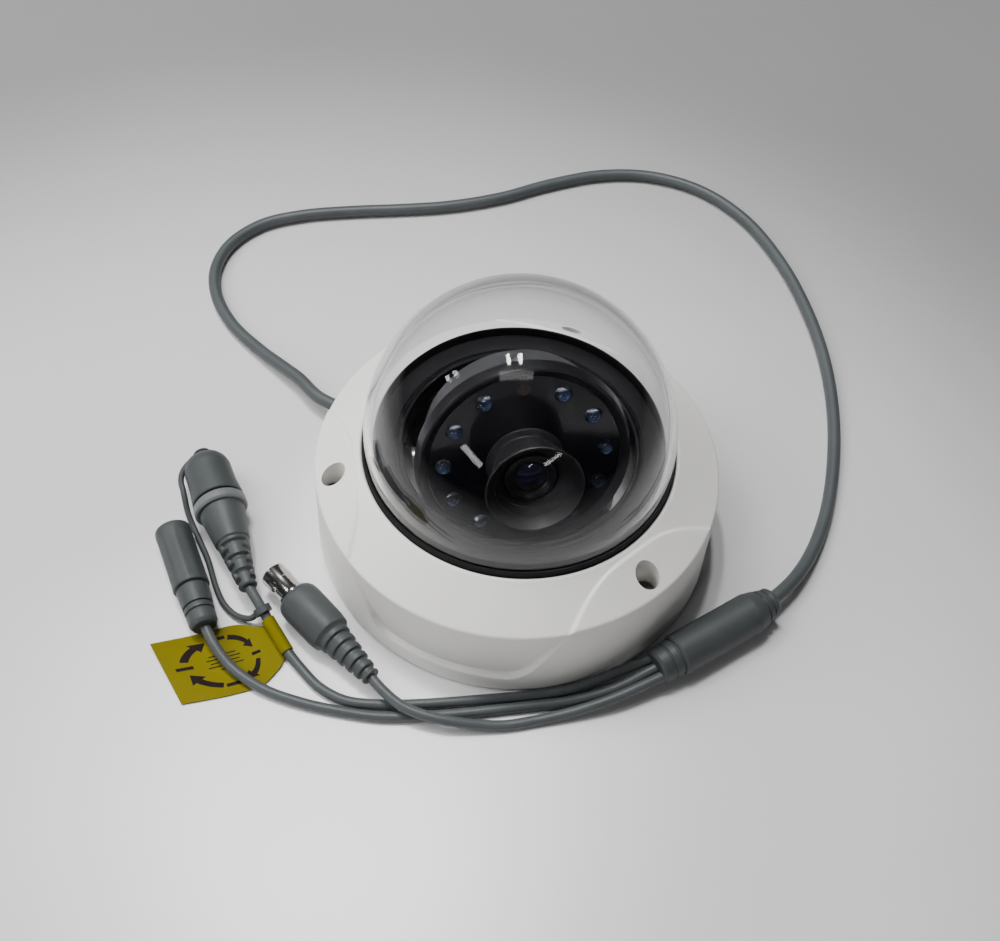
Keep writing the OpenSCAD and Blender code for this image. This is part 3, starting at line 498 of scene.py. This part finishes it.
def make_video_barrel():
    """The video connector's bayonet barrel with its two lugs."""
    r, lug_z, lug_height = 4.85, 7, 0.75
    profile = [(4.05, 12), (4.05, 0.2), (4.3, 0), (r - 0.3, 0), (r, 0.4), (r, 5.4), (4.7, 5.6),
               (4.7, 11.4), (5.5, 11.5), (5.5, 12.6), (4.7, 12.7), (4.7, 18)]
    barrel = skin_mesh("barrel", lathe_rows(rounded(profile, 0.12), 96), caps=False,
                       place=VIDEO_PLUG, sharp=30)
    lugs = []
    for turn in (60, 240):
        lug_place = (VIDEO_PLUG @ Matrix.Rotation(math.radians(turn), 4, "Z")
                     @ Matrix.Translation((0, 0, lug_z))
                     @ Matrix.Rotation(math.radians(90), 4, "Y"))
        outline = rounded([(0, 3.5), (1, 3.5), (1, r + lug_height), (0, r + lug_height)], 0.2)
        lugs.append(skin_mesh("lug", lathe_rows(outline, 32), place=lug_place))
    mesh = joined("video_barrel_shell", barrel, *lugs)
    return piece("video_barrel_shell", mesh, "root", "nickel", nickel, "video_barrel")


def make_power_socket():
    """The power socket's body, with a faceted grip and its bore."""
    bore, bore_end = 2.9, 9.5
    grip_start, grip_end, grip_r, run_in = 3, 25.6, 6, 2
    facet_count, facet_depth = 10, 0.16

    def facets(angle, z, r):
        if not grip_start < z < grip_end or r < grip_r:
            return np.full(len(angle), float(r))
        fade = min(1.0, (z - grip_start) / run_in, (grip_end - z) / run_in)
        return r - facet_depth * fade * (0.5 - 0.5 * np.cos(facet_count * angle))
    body = [(0, bore_end), (bore, bore_end), (bore, 0.3), (bore + 0.3, 0), (5.7, 0),
            (6.3, 0.5, 0.5),
            (6.5, 2, 1.5), (6.5, 26.4, 0.5), (5.2, 26.6), (5.2, 27.2), (5.8, 27.4), (5.4, 34.5),
            (4.7, 34.6), (4.7, 35.2), (5.3, 35.3), (5.2, 37), (4.6, 37.1), (4.6, 37.7),
            (5.1, 37.8), (5, 41.5, 1), (4.2, 43, 0.6), (0, 43)]
    profile = resampled(rounded(body, 0.25), 1.0)
    mesh = skin_mesh("power_socket", lathe_rows(profile, 120, facets), place=POWER_SOCKET)
    return piece("power_socket", mesh, "root", "connector_grey", plug_grey,
                 "power_socket_body")


def make_switch_pieces():
    """The format switch's cone, its collar, and its cap with the strap's moulded root."""
    z0 = 29.0
    cone = rounded([(0, z0), (8.2, z0), (8, z0 + 2, 1), (6.3, 43, 0.6), (5.7, 43.6), (5.7, 44),
                    (3.3, 62.4), (2.9, 63), (0, 63)], 0.3)
    relief = slotted(44.2, 62.2, 6, 1.0)
    mesh = skin_mesh("switch_cone", lathe_rows(resampled(cone, 0.35), 96, relief), place=SWITCH)
    made = [piece("switch_cone", mesh, "root", "connector_grey", plug_grey, "switch_body")]
    collar = [(3.1, 9), (7.15, 9), (7.15, 25), (9.2, 25), (9.7, 25.6), (9.7, 28.2), (9.1, 29),
              (7, 29), (3.1, 29)]
    made.append(turned("switch_ring", collar, SWITCH, "root", "collar_grey", collar_light,
                       "switch_collar", loop=True))
    cap = [(7.4, 24), (7.4, 8.6), (4, 8.6), (4, 4.4), (0, 4.4)]
    ribs = [(0, 0), (2.6, 0), (3.2, 0.6)]
    for z in (0.9, 2.1):
        ribs += [(3.2, z + 0.2, 0.15), (2.7, z + 0.4, 0.15), (2.7, z + 0.7, 0.15),
                 (3.2, z + 0.9, 0.15)]
    dome = [(2.9, 3.0), (4.4, 3.1, 0.6), (6.6, 4.4, 2), (8, 6.6, 2), (8.6, 9, 2), (8.7, 17, 3),
            (9.2, 21.4, 2), (9.4, 23.4, 0.4), (9.1, 24, 0.3)]
    profile = rounded(ribs + dome + cap, 0.3)
    shell = skin_mesh("cap_shell", lathe_rows(profile, 96), place=SWITCH)
    bend_r, bend_y, bend_z, bend_turn = 11, 0.4, 12.5, math.radians(75)
    bend = [SWITCH @ Vector((0, bend_y - bend_r * math.cos(a), bend_z - bend_r * math.sin(a)))
            for a in np.linspace(bend_turn, 0, 26)]
    strap = skin_mesh("cap_strap", tube_rows(np.array(bend), TETHER_D / 2, 20))
    made.append(piece("switch_cap_shell", joined("switch_cap_shell", shell, strap),
                      "switch_cap", "connector_grey", plug_grey, "switch_cap"))
    return made


def make_gland():
    """The rubber sleeve round the main cable where it leaves the housing."""
    profile = [(0, 63), (4.2, 63), (4.2, 72.4), (4.7, 72.4, 0.4), (4.6, 73.6, 0.4),
               (3.7, 73.9, 0.5), (3.1, 81.4, 1.0), (2.6, 82, 0.3), (0, 82)]
    return turned("cord_gland", profile, GLAND, "root", "gland_rubber", rubber, "cable_gland")


splitter = make_splitter()
video_plug = make_video_plug()
video_barrel = make_video_barrel()
power_socket = make_power_socket()
switch_cone, switch_ring, cap_shell = make_switch_pieces()
gland = make_gland()

# ---------------------------------------------------------------- tag

TAG_ROWS = [
    ((-64.4, -76.4, 2.6), (-53.6, -84.2, 1)), ((-67.4, -77.4, 1.8), (-53.3, -87.6, 0.6)),
    ((-75, -78.8, 1.3), (-55.6, -96.4, 0.4)), ((-86.5, -87.6, 0.6), (-66, -104.4, 0.2)),
    ((-98.4, -96.5, 2), (-78.3, -112.1, 0.4))]
TAG_T, PRINT_LIFT = 0.4, 0.03
GRID_ROWS, GRID_COLUMNS, SMOOTH_PASSES = 33, 17, 6
FOLD_START, FOLD_END = (-64, -74.9, 5.3), (-53, -82.9, 3.2)
FOLD_OUTER, FOLD_INNER = 2.3, 1.85


def tag_grid():
    """Points over the tag, from its fold to its free end and from edge to edge."""
    left = np.array([r[0] for r in TAG_ROWS], float)
    right = np.array([r[1] for r in TAG_ROWS], float)
    at = np.linspace(0, len(TAG_ROWS) - 1, GRID_ROWS)
    known = np.arange(len(TAG_ROWS))
    edge = [np.stack([np.interp(at, known, e[:, k]) for k in range(3)], axis=1)
            for e in (left, right)]
    for e in edge:
        for _ in range(SMOOTH_PASSES):
            e[1:-1] = (e[:-2] + 2 * e[1:-1] + e[2:]) / 4
    across = np.linspace(0, 1, GRID_COLUMNS)[None, :, None]
    return edge[0][:, None] * (1 - across) + edge[1][:, None] * across


TAG = tag_grid()


def tag_point(u, v, lift):
    """The point at u (0 fold to 1 end) and v (0 to 1 across), that far above the tag."""
    last_row, last_column = GRID_ROWS - 1, GRID_COLUMNS - 1
    i = min(last_row - 1, max(0, int(u * last_row)))
    j = min(last_column - 1, max(0, int(v * last_column)))
    a, b = u * last_row - i, v * last_column - j
    flat = (TAG[i, j] * (1 - a) * (1 - b) + TAG[i + 1, j] * a * (1 - b)
            + TAG[i, j + 1] * (1 - a) * b + TAG[i + 1, j + 1] * a * b)
    return flat + np.array((0, 0, TAG_T + lift))


def make_tag():
    """The yellow film with its fold round the switch pigtail."""
    rows, columns = GRID_ROWS, GRID_COLUMNS
    low = TAG.reshape(-1, 3)
    points = np.vstack([low, low + (0, 0, TAG_T)])
    count = rows * columns
    faces = []
    for i in range(rows - 1):
        for j in range(columns - 1):
            a = i * columns + j
            quad = (a, a + 1, a + columns + 1, a + columns)
            faces.append(quad)
            faces.append(tuple(count + k for k in reversed(quad)))
    rim = ([j for j in range(columns)] + [i * columns + columns - 1 for i in range(1, rows)]
           + [(rows - 1) * columns + j for j in range(columns - 2, -1, -1)]
           + [i * columns for i in range(rows - 2, 0, -1)])
    for a, b in zip(rim, rim[1:] + rim[:1]):
        faces.append((a, b, b + count, a + count))
    sheet = raw_mesh("tag_sheet", points, faces)
    start, end = np.array(FOLD_START), np.array(FOLD_END)
    line = start + (end - start) * np.linspace(0, 1, 12)[:, None]
    outer = tube_rows(line, FOLD_OUTER, 32)
    inner = tube_rows(line, FOLD_INNER, 32)
    fold = skin_mesh("tag_fold", np.concatenate([outer, inner[::-1]]), loop=True)
    return piece("tag_film", joined("tag_film", sheet, fold), "root", "tag_yellow",
                 tag_yellow, "label_tag")


tag = make_tag()


def tag_patch(outline):
    """A flat printed shape on the tag from pairs of (u, v) points on its two sides."""
    points = []
    for a, b in outline:
        points += [tag_point(*a, PRINT_LIFT), tag_point(*b, PRINT_LIFT)]
    faces = [(2 * i, 2 * i + 1, 2 * i + 3, 2 * i + 2) for i in range(len(outline) - 1)]
    return points, faces


def make_tag_print():
    """Four curved arrows in a circle, four bars and five thin lines, with no lettering."""
    middle_row, middle_column = GRID_ROWS // 2, GRID_COLUMNS // 2
    long = float(np.linalg.norm(TAG[-1, middle_column] - TAG[0, middle_column]))
    wide = float(np.linalg.norm(TAG[middle_row, -1] - TAG[middle_row, 0]))
    centre = (0.65, 0.5)
    ring, width, head, point = 9.0, 1.9, 2.2, 0.05
    lead_in, shaft_turn, head_turn = math.radians(18), math.radians(36), math.radians(20)

    def at(angle, radius):
        return (centre[0] + radius * math.cos(angle) / long,
                centre[1] - radius * math.sin(angle) / wide)
    points, faces = [], []

    def add(outline):
        more, quads = tag_patch(outline)
        base = len(points)
        points.extend(more)
        faces.extend([tuple(base + k for k in q) for q in quads])

    def bar(mid, half, thick):
        u, v = half / long, thick / wide / 2
        add([((mid[0] + s, mid[1] - v), (mid[0] + s, mid[1] + v)) for s in (-u, u)])
    for k in range(4):
        start = math.radians(90 * k) + lead_in
        turn = [start + shaft_turn * i / 12 for i in range(13)]
        add([(at(a, ring - width / 2), at(a, ring + width / 2)) for a in turn])
        tip = turn[-1] + head_turn
        add([(at(turn[-1], ring - head), at(turn[-1], ring + head)),
             (at(tip, ring - point), at(tip, ring + point))])
        bar(at(math.radians(90 * k + 2), ring), 1.9, 1.3)
    for across, half in ((-2.8, 3.2), (-1.4, 4.0), (0, 3.4), (1.4, 4.2), (2.8, 1.8)):
        bar((centre[0], centre[1] + across / wide), half, 0.4)
    mesh = raw_mesh("tag_print", points, faces)
    return piece("tag_print", mesh, "root", "switch_black", ink)


tag_print = make_tag_print()

# ---------------------------------------------------------------- cover

COVER_R, COVER_Z0, SHOULDER_R, SHOULDER_Z = 72.0, 0.5, 71.0, 36.0
OPENING_R, COVER_TOP = 54.2, 47.0
SLOPE = (COVER_TOP - SHOULDER_Z) / (SHOULDER_R - OPENING_R)
PANEL_DEPTH, PANEL_DROP, PANEL_Z0 = 2.4, 1.0, 8.6
SCREW_AZ = (90, 210, 330)
SCREW_R, WELL_R, WELL_FLOOR = 64.5, 4.25, 26.5
WELL_BOTTOM, WELL_OUTER_R, SCREW_HOLE_R, WELL_BURIED = 22, 5.75, 2.2, 1.4
COVER_INNER_R, SEAT_Z = 66.4, 39.6
PAD_R, PAD_HALF, PAD_ROUND, PAD_RAMP = 57, 16.3, 3.0, 1.5
PAD_FLANK = (0.9308, 0.3657)  # a pad's slanting edge faces outwards and the pad's middle
PANEL_HALF, PANEL_LOW, PANEL_ROUND, PANEL_RAMP = 27, 11.6, 6.0, 1.3
PANEL_FLANK = (0.8986, 0.4387)  # a panel's slanting end faces the panel's middle and up
NOTCH_HALF, NOTCH_IN, NOTCH_OUT, NOTCH_DROP = 4.4, 60, 78, -2.0


def ease(d, width):
    """0 to 1, smoothly, over a width about d = 0."""
    t = np.clip(d / width + 0.5, 0, 1)
    return t * t * (3 - 2 * t)


def corner_distance(a, b, radius):
    """How far inside a corner of two edges, whose point is rounded off."""
    near = (a < radius) & (b < radius)
    return np.where(near, radius - np.hypot(radius - a, radius - b), np.minimum(a, b))


def sunk(r, z, angle):
    """Where a point of the plain cover lies once the three panels are sunk into it."""
    third = 2 * math.pi / 3
    from_pad = (angle - math.pi / 2 + third / 2) % third - third / 2
    from_panel = (angle - math.pi / 6 + third / 2) % third - third / 2
    x, y = r * np.cos(from_pad), np.abs(r * np.sin(from_pad))
    flank = (x - PAD_R) * PAD_FLANK[0] - (y - PAD_HALF) * PAD_FLANK[1]
    on_slope = 1 - ease(corner_distance(x - PAD_R, flank, PAD_ROUND), PAD_RAMP)
    side = np.abs(r * np.sin(from_panel))
    edge = (PANEL_HALF - side) * PANEL_FLANK[0] + (z - PANEL_LOW) * PANEL_FLANK[1]
    on_wall = ease(corner_distance(edge, z - PANEL_Z0, PANEL_ROUND), PANEL_RAMP)
    share = np.clip((z - (SHOULDER_Z - 0.9)) / 1.8, 0, 1)
    sunken = on_wall * (1 - share) + on_slope * share
    span = SHOULDER_Z - PANEL_Z0
    new_z = z - PANEL_DROP * sunken * np.clip((z - PANEL_Z0) / span, 0, 1)
    depth = PANEL_DEPTH * np.clip((SHOULDER_Z - PANEL_DROP - new_z) / span, 0, 1)
    return r - sunken * depth, new_z


def cover_rows():
    """Rings of points round the cover's wall: up its outside and down its inside."""
    columns = 600
    outer = rounded([(COVER_INNER_R, COVER_Z0), (COVER_R, COVER_Z0, 1.0),
                     (SHOULDER_R, SHOULDER_Z, 1.6), (OPENING_R, COVER_TOP, 1.0),
                     (OPENING_R, SEAT_Z)], 0.8, steps=5)
    inner = [(OPENING_R, SEAT_Z), (59.6, SEAT_Z), (COVER_INNER_R, 34.9),
             (COVER_INNER_R, COVER_Z0)]
    angle = np.linspace(0, 2 * math.pi, columns, endpoint=False)
    rows = []
    for r, z in resampled(outer[1:-1], 0.62):
        radius, height = sunk(np.full(columns, r), np.full(columns, z), angle)
        rows.append(np.stack([radius * np.cos(angle), radius * np.sin(angle), height], axis=1))
    return np.concatenate([np.array(rows), lathe_rows(inner, columns)])


def well_place(azimuth):
    """Where a screw well's axis meets the table."""
    a = math.radians(azimuth)
    return SCREW_R * math.cos(a), SCREW_R * math.sin(a), 0


def cover_cutters():
    """What is cut from the cover: three screw wells and the cable's notch."""
    cutters = [skin_mesh("cut", lathe_rows([(WELL_R, 12), (WELL_R, 60)], 96),
                         place=Matrix.Translation(well_place(a))) for a in SCREW_AZ]
    round_part = lathe_rows([(NOTCH_HALF, NOTCH_IN), (NOTCH_HALF, NOTCH_OUT)], 64)
    cutters.append(skin_mesh("cut", round_part, place=GLAND))
    a = math.radians(GLAND_AZ)
    corners = [(NOTCH_IN, -NOTCH_HALF), (NOTCH_OUT, -NOTCH_HALF), (NOTCH_OUT, NOTCH_HALF),
               (NOTCH_IN, NOTCH_HALF)]
    ring = [(x * math.cos(a) - y * math.sin(a), x * math.sin(a) + y * math.cos(a))
            for x, y in corners]
    box = np.array([[(x, y, z) for x, y in ring] for z in (NOTCH_DROP, GLAND_Z)])
    cutters.append(skin_mesh("cut", box))
    return cutters


def cut_away(mesh, cutters):
    """The mesh with each cutter taken out of it."""
    link = bpy.context.scene.collection.objects.link
    body = bpy.data.objects.new("uncut", mesh)
    link(body)
    for cutter_mesh in cutters:
        cutter = bpy.data.objects.new("cutter", cutter_mesh)
        link(cutter)
        cut = body.modifiers.new("cut", "BOOLEAN")
        cut.operation = "DIFFERENCE"
        cut.solver = "EXACT"
        cut.object = cutter
        bpy.context.view_layer.update()
        shown = body.evaluated_get(bpy.context.evaluated_depsgraph_get())
        result = bpy.data.meshes.new_from_object(shown)
        body.modifiers.clear()
        body.data = result
        bpy.data.objects.remove(cutter)
    out = body.data.copy()
    bpy.data.objects.remove(body)
    return out


def make_cover():
    """The white cover with its sunken panels, screw wells and cable notch."""
    mesh = cut_away(skin_mesh("cover_skin", cover_rows(), loop=True), cover_cutters())
    mesh.polygons.foreach_set("use_smooth", [True] * len(mesh.polygons))
    mesh.set_sharp_from_angle(angle=math.radians(38))
    whole = joined("cover_shell", mesh, *[well_mesh(a) for a in SCREW_AZ])
    return piece("cover_shell", whole, "root", "cover_paint", paint, "top_cover")


def well_mesh(azimuth):
    """The round wall and floor of a screw well, with its top buried in the cover's wall."""
    cx, cy, _ = well_place(azimuth)
    columns = 72
    turn = np.linspace(0, 2 * math.pi, columns, endpoint=False)
    rows = []
    for r, z in ((SCREW_HOLE_R, WELL_BOTTOM), (WELL_OUTER_R, WELL_BOTTOM), (WELL_OUTER_R, None),
                 (WELL_R, None), (WELL_R, WELL_FLOOR), (SCREW_HOLE_R, WELL_FLOOR)):
        x, y = cx + r * np.cos(turn), cy + r * np.sin(turn)
        top = SHOULDER_Z + (SHOULDER_R - np.hypot(x, y)) * SLOPE - WELL_BURIED
        rows.append(np.stack([x, y, top if z is None else np.full(columns, float(z))], axis=1))
    return skin_mesh("well", np.array(rows), loop=True)


make_cover()

# ---------------------------------------------------------------- dome, gasket, liner

DOME_R, DOME_WALL, DOME_Z = 53.3, 2.5, 51.7
CLAMP_TOP, FLANGE_TOP, FLANGE_R = 35.6, 38.2, 58.2
ROOT = Matrix.Identity(4)


def make_dome():
    """The clear dome: half a sphere on a short straight wall and a flange."""
    def arc(r):
        return [(r * math.cos(a), DOME_Z + r * math.sin(a))
                for a in np.linspace(0, math.pi / 2, 73)]
    inner_r = DOME_R - DOME_WALL
    foot = rounded([(inner_r, DOME_Z), (inner_r, CLAMP_TOP), (FLANGE_R, CLAMP_TOP),
                    (FLANGE_R, FLANGE_TOP), (DOME_R, FLANGE_TOP), (DOME_R, DOME_Z)], 0.3)
    profile = arc(inner_r)[::-1] + foot[1:-1] + arc(DOME_R)
    mesh = skin_mesh("dome_shell", lathe_rows(profile, 192), caps=False, sharp=40)
    return piece("dome_shell", mesh, "root", "dome_clear", dome_clear, "clear_dome")


make_dome()
turned("gasket_ring", [
    (DOME_R, FLANGE_TOP), (FLANGE_R, FLANGE_TOP), (FLANGE_R, SEAT_Z), (54.1, SEAT_Z),
    (54.1, 47.2, 0.15), (53.9, 47.5, 0.15), (53.5, 47.5, 0.15), (DOME_R, 47.3, 0.1)],
    ROOT, "root", "seal_rubber", rubber, "dome_gasket", columns=192, loop=True)
turned("liner_bowl", [
    (40.5, 38), (41.7, 38), (41.7, 43.8), (48.9, 44.6), (48.9, 31.4), (57, 31.4), (57, 33.2),
    (50.3, 33.2), (50.3, 46, 0.6), (43.6, 45.3), (43.2, 44.9, 0.15), (42.6, 44.9, 0.15),
    (42.2, 45.2, 0.2), (41.7, 45.8, 0.3), (40.5, 45.6, 0.4)], ROOT, "root", "liner_black",
    liner_black, "inner_liner", columns=192, loop=True)

# ---------------------------------------------------------------- lens module

PIVOT_Z, PAN_SET, TILT_SET = 44, 30, 70
MODULE = (Matrix.Translation((0, 0, PIVOT_Z)) @ Matrix.Rotation(math.radians(PAN_SET), 4, "Z")
          @ Matrix.Rotation(math.radians(TILT_SET), 4, "X"))
BALL_R, FRONT_D, PLATE_TOP, LED_R = 38.4, 12.0, 10.8, 28.0
LED_ANGLES = [90 + s * a for a in (28, 57, 86, 115, 144) for s in (-1, 1)]


def make_ball():
    """The module's round body: a band of a sphere with a hollow back and a rimmed front."""
    back, chamfer = 5.0, 8.0
    a0, a1 = math.asin(chamfer / BALL_R), math.asin(FRONT_D / BALL_R)
    band = [(BALL_R * math.cos(a), BALL_R * math.sin(a), 0) for a in np.linspace(a0, a1, 10)[:-1]]
    rim = math.sqrt(BALL_R ** 2 - FRONT_D ** 2)
    profile = ([(27, -9.2), (29, -9.2), (29, back), (BALL_R - 3.9, back, 0.4)]
               + band + [(rim, FRONT_D, 0.5), (rim - 0.8, FRONT_D, 0.2),
                         (34.2, 11.4, 0.3), (33.2, PLATE_TOP, 0.1), (33.2, 6.5), (27, 6.5)])
    turned("module_ball", profile, MODULE, "lens_module", "module_plastic", gloss_black,
           "module_shell", columns=192, loop=True, radius=0.15, sharp=32)


def make_lens():
    """The hood, the barrel with its rings, and the front glass."""
    hood = [(9.3, 7.8), (12.8, 7.8), (12.8, 10.8), (13.6, 10.85), (13.6, 11.8, 0.4),
            (11, 12.4, 0.5), (16.7, 27.4, 0.4), (16.4, 27.8, 0.2), (16, 27.8, 0.2),
            (15.7, 27.3, 0.3), (13.2, 24.2, 0.2), (12.9, 24.1, 0.2), (11.1, 21.8, 0.2),
            (10.8, 21.7, 0.2), (9.3, 19.8)]
    turned("hood_cone", hood, MODULE, "lens_module", "hood_rubber", hood_black, "lens_hood",
           columns=128, loop=True, radius=0.15)
    barrel = [(0, 8.5), (8, 8.5), (8, 17.1), (9.1, 17.1), (9.1, 20.6, 0.3), (8.6, 21.1, 0.2),
              (8.0, 21.1, 0.1), (7.9, 20.8), (7.6, 20.8), (7.5, 21.0), (7.0, 20.7), (6.9, 20.4),
              (6.6, 20.3), (6.5, 20.0), (6.1, 19.7), (6.0, 18.6), (0, 18.4)]
    turned("barrel_rings", barrel, MODULE, "lens_module", "barrel_black", barrel_black,
           "lens_barrel", columns=128, radius=0.08, sharp=25)
    glass_r, glass_z, glass_half_angle = 9.9, 9.7, 0.64
    glass = [(0, 17)] + [(glass_r * math.sin(a), glass_z + glass_r * math.cos(a))
                         for a in np.linspace(glass_half_angle, 0, 20)]
    mesh = skin_mesh("front_glass", lathe_rows(glass, 96), place=MODULE)
    piece("front_glass", mesh, "lens_module", "lens_glass", lens_coated, "front_lens")


def make_lamps():
    """The ring of infrared lamps: a clear dome, a bright cup and a chip in each."""
    domes, cups, chips = [], [], []
    foot_r, dome_r = 2.42, 2.45
    for angle in LED_ANGLES:
        place = (MODULE @ Matrix.Rotation(math.radians(angle), 4, "Z")
                 @ Matrix.Translation((LED_R, 0, 0)))
        dome_line = [(0, 9.4), (foot_r, 9.4), (foot_r, PLATE_TOP)] + [
            (dome_r * math.cos(a), PLATE_TOP + dome_r * math.sin(a))
            for a in np.linspace(0.02, math.pi / 2, 16)]
        domes.append(skin_mesh("lamp", lathe_rows(dome_line, 40), place=place, sharp=50))
        cup = [(0, 8.2), (2.9, 8.2), (2.9, 9.2), (2.5, 9.35), (2.3, 9.3), (1.0, 9.05), (0, 9.05)]
        cups.append(skin_mesh("cup", lathe_rows(rounded(cup, 0.1), 40), place=place))
        chip = [(0, 9.06), (0.8, 9.06), (0.8, 9.3), (0, 9.3)]
        chips.append(skin_mesh("chip", lathe_rows(rounded(chip, 0.06), 20), place=place))
    piece("lamp_domes", joined("lamp_domes", *domes), "lens_module", "lamp_clear", lamp_clear,
          "infrared_lamps")
    piece("lamp_cups", joined("lamp_cups", *cups), "lens_module", "lamp_clear", lamp_cup)
    piece("lamp_chips", joined("lamp_chips", *chips), "lens_module", "lamp_clear", lamp_chip)


make_ball()
make_lens()
make_lamps()

# ---------------------------------------------------------------- CAD pieces that stay

# cover_screws take the near-black mechanism plastic in place of steel: painted shade in the screw
# wells
KEPT = {
    "base_housing": cast, "cover_seal": rubber, "cover_screws": mech_black, "dome_clamp_ring": zinc,
    "clamp_ring_screws": steel, "pan_base": mech_black, "pan_base_screws": steel,
    "pan_retainer": steel, "inner_lead": mech_black, "pan_turntable": mech_black,
    "yoke_bracket": zinc, "yoke_screws": steel, "pan_lock_screw": steel,
    "tilt_cradle": mech_black, "tilt_pivot_screws": steel, "friction_washers": rubber,
    "roll_lock_screw": steel, "rear_cover": mech_black, "rear_cover_screws": steel,
    "lamp_board": board, "lamp_plate": plate_black, "light_sensor": sensor_dark,
    "lens_holder": mech_black, "infrared_filter": filter_red, "image_sensor": barrel_black,
    "sensor_board": board, "processor_board": board, "board_spacers": brass,
    "video_insulator": white_plastic, "video_contact": gold, "power_socket_pin": nickel,
    "switch_unit": mech_black, "tether_ring": plug_grey, "format_button": mech_black}
for node_name, kept_material in KEPT.items():
    kept = NODES[node_name]
    kept.data.materials.clear()
    kept.data.materials.append(kept_material)

# ---------------------------------------------------------------- floor and light

table_top = surface("table_top", (0.62, 0.615, 0.62), 0.30, spread=0.02, patch=9, grain=1800,
                    relief=0.00002)


def paint_table_light():
    """Painted light: the table's colour is brightest in front of the housing and darker with
    distance from there.
    """
    tree = table_top.node_tree
    shader = tree.nodes["Principled BSDF"]
    colour = shader.inputs["Base Color"].links[0].from_socket
    place = node(tree, "ShaderNodeTexCoord")
    away = node(tree, "ShaderNodeVectorMath", operation="DISTANCE")
    away.inputs[1].default_value = (-0.03, -0.11, 0)
    tree.links.new(place.outputs["Object"], away.inputs[0])
    # painted light near the housing and painted shade further away, multiplied into the table's
    # colour
    for near, far, low, high in ((0.02, 0.14, 1.4, 1.0), (0.18, 0.40, 1.0, 0.40)):
        fade = node(tree, "ShaderNodeMapRange", interpolation_type="SMOOTHSTEP")
        for key, value in (("From Min", near), ("From Max", far), ("To Min", low),
                           ("To Max", high)):
            fade.inputs[key].default_value = value
        mix = node(tree, "ShaderNodeMixRGB", blend_type="MULTIPLY", Fac=1.0)
        tree.links.new(away.outputs["Value"], fade.inputs["Value"])
        tree.links.new(colour, mix.inputs["Color1"])
        tree.links.new(fade.outputs["Result"], mix.inputs["Color2"])
        colour = mix.outputs["Color"]
    tree.links.new(colour, shader.inputs["Base Color"])


paint_table_light()


def make_floor():
    """The table top, on which the part lies."""
    half = 2.5
    mesh = bpy.data.meshes.new("floor")
    mesh.from_pydata([(-half, -half, 0), (half, -half, 0), (half, half, 0), (-half, half, 0)],
                     [], [(0, 1, 2, 3)])
    floor = bpy.data.objects.new("floor", mesh)
    bpy.context.scene.collection.objects.link(floor)
    mesh.materials.append(table_top)


ASIDE = (0.94, 0.34, 0)
AIMED_AT = Vector((0, 0, 0.05))


def area_light(name, towards, distance, size, power, side=ASIDE, mirrored=True, shift=0.0):
    """A soft light in a direction from the part. side is its width's direction."""
    back = Vector(towards).normalized()
    across = Vector(side)
    across = (across - across.dot(back) * back).normalized()
    turn = Matrix((across, back.cross(across), back)).transposed()
    place = AIMED_AT + back * distance + across * shift
    data = bpy.data.lights.new(name, "AREA")
    data.shape = "RECTANGLE"
    data.size, data.size_y = size
    data.energy = power
    light = bpy.data.objects.new(name, data)
    bpy.context.scene.collection.objects.link(light)
    light.matrix_world = Matrix.Translation(place) @ turn.to_4x4()
    light.visible_glossy = mirrored
    light.visible_transmission = mirrored


def make_lights():
    """A dim sky, lights that show in the dome, and two fill lights that don't."""
    world = bpy.data.worlds.new("studio")
    world.use_nodes = True
    sky = world.node_tree.nodes["Background"]
    sky.inputs["Color"].default_value = (0.84, 0.87, 0.92, 1)
    sky.inputs["Strength"].default_value = 0.03
    bpy.context.scene.world = world
    overhead = (-0.182, 0.181, 0.966)
    for name, shift in (("key_left", -0.14), ("key_right", 0.14)):
        area_light(name, overhead, 2.2, (0.10, 0.30), 17, shift=shift)
    area_light("soft_panel", (-0.097, -0.005, 0.995), 2.3, (0.9, 0.26), 3)
    for name, shift in (("far_left", -0.12), ("far_right", 0.12)):
        area_light(name, (-0.751, -0.073, 0.656), 2.5, (0.11, 0.18), 2.6, shift=shift)
    area_light("bar_left", (-0.311, -0.855, 0.416), 2.5, (0.8, 0.17), 7, side=(0.94, -0.342, -0.4))
    area_light("bar_right", (0.594, -0.629, 0.501), 2.5, (0.6, 0.08), 3, side=(0.727, 0.687, 0.4))
    area_light("fill_left", (-0.75, -0.22, 0.75), 1.15, (1.0, 0.8), 11.5, mirrored=False)
    area_light("fill_back", (-0.5, 0.2, 1.0), 1.6, (0.8, 0.6), 11.5, mirrored=False)


make_floor()
make_lights()
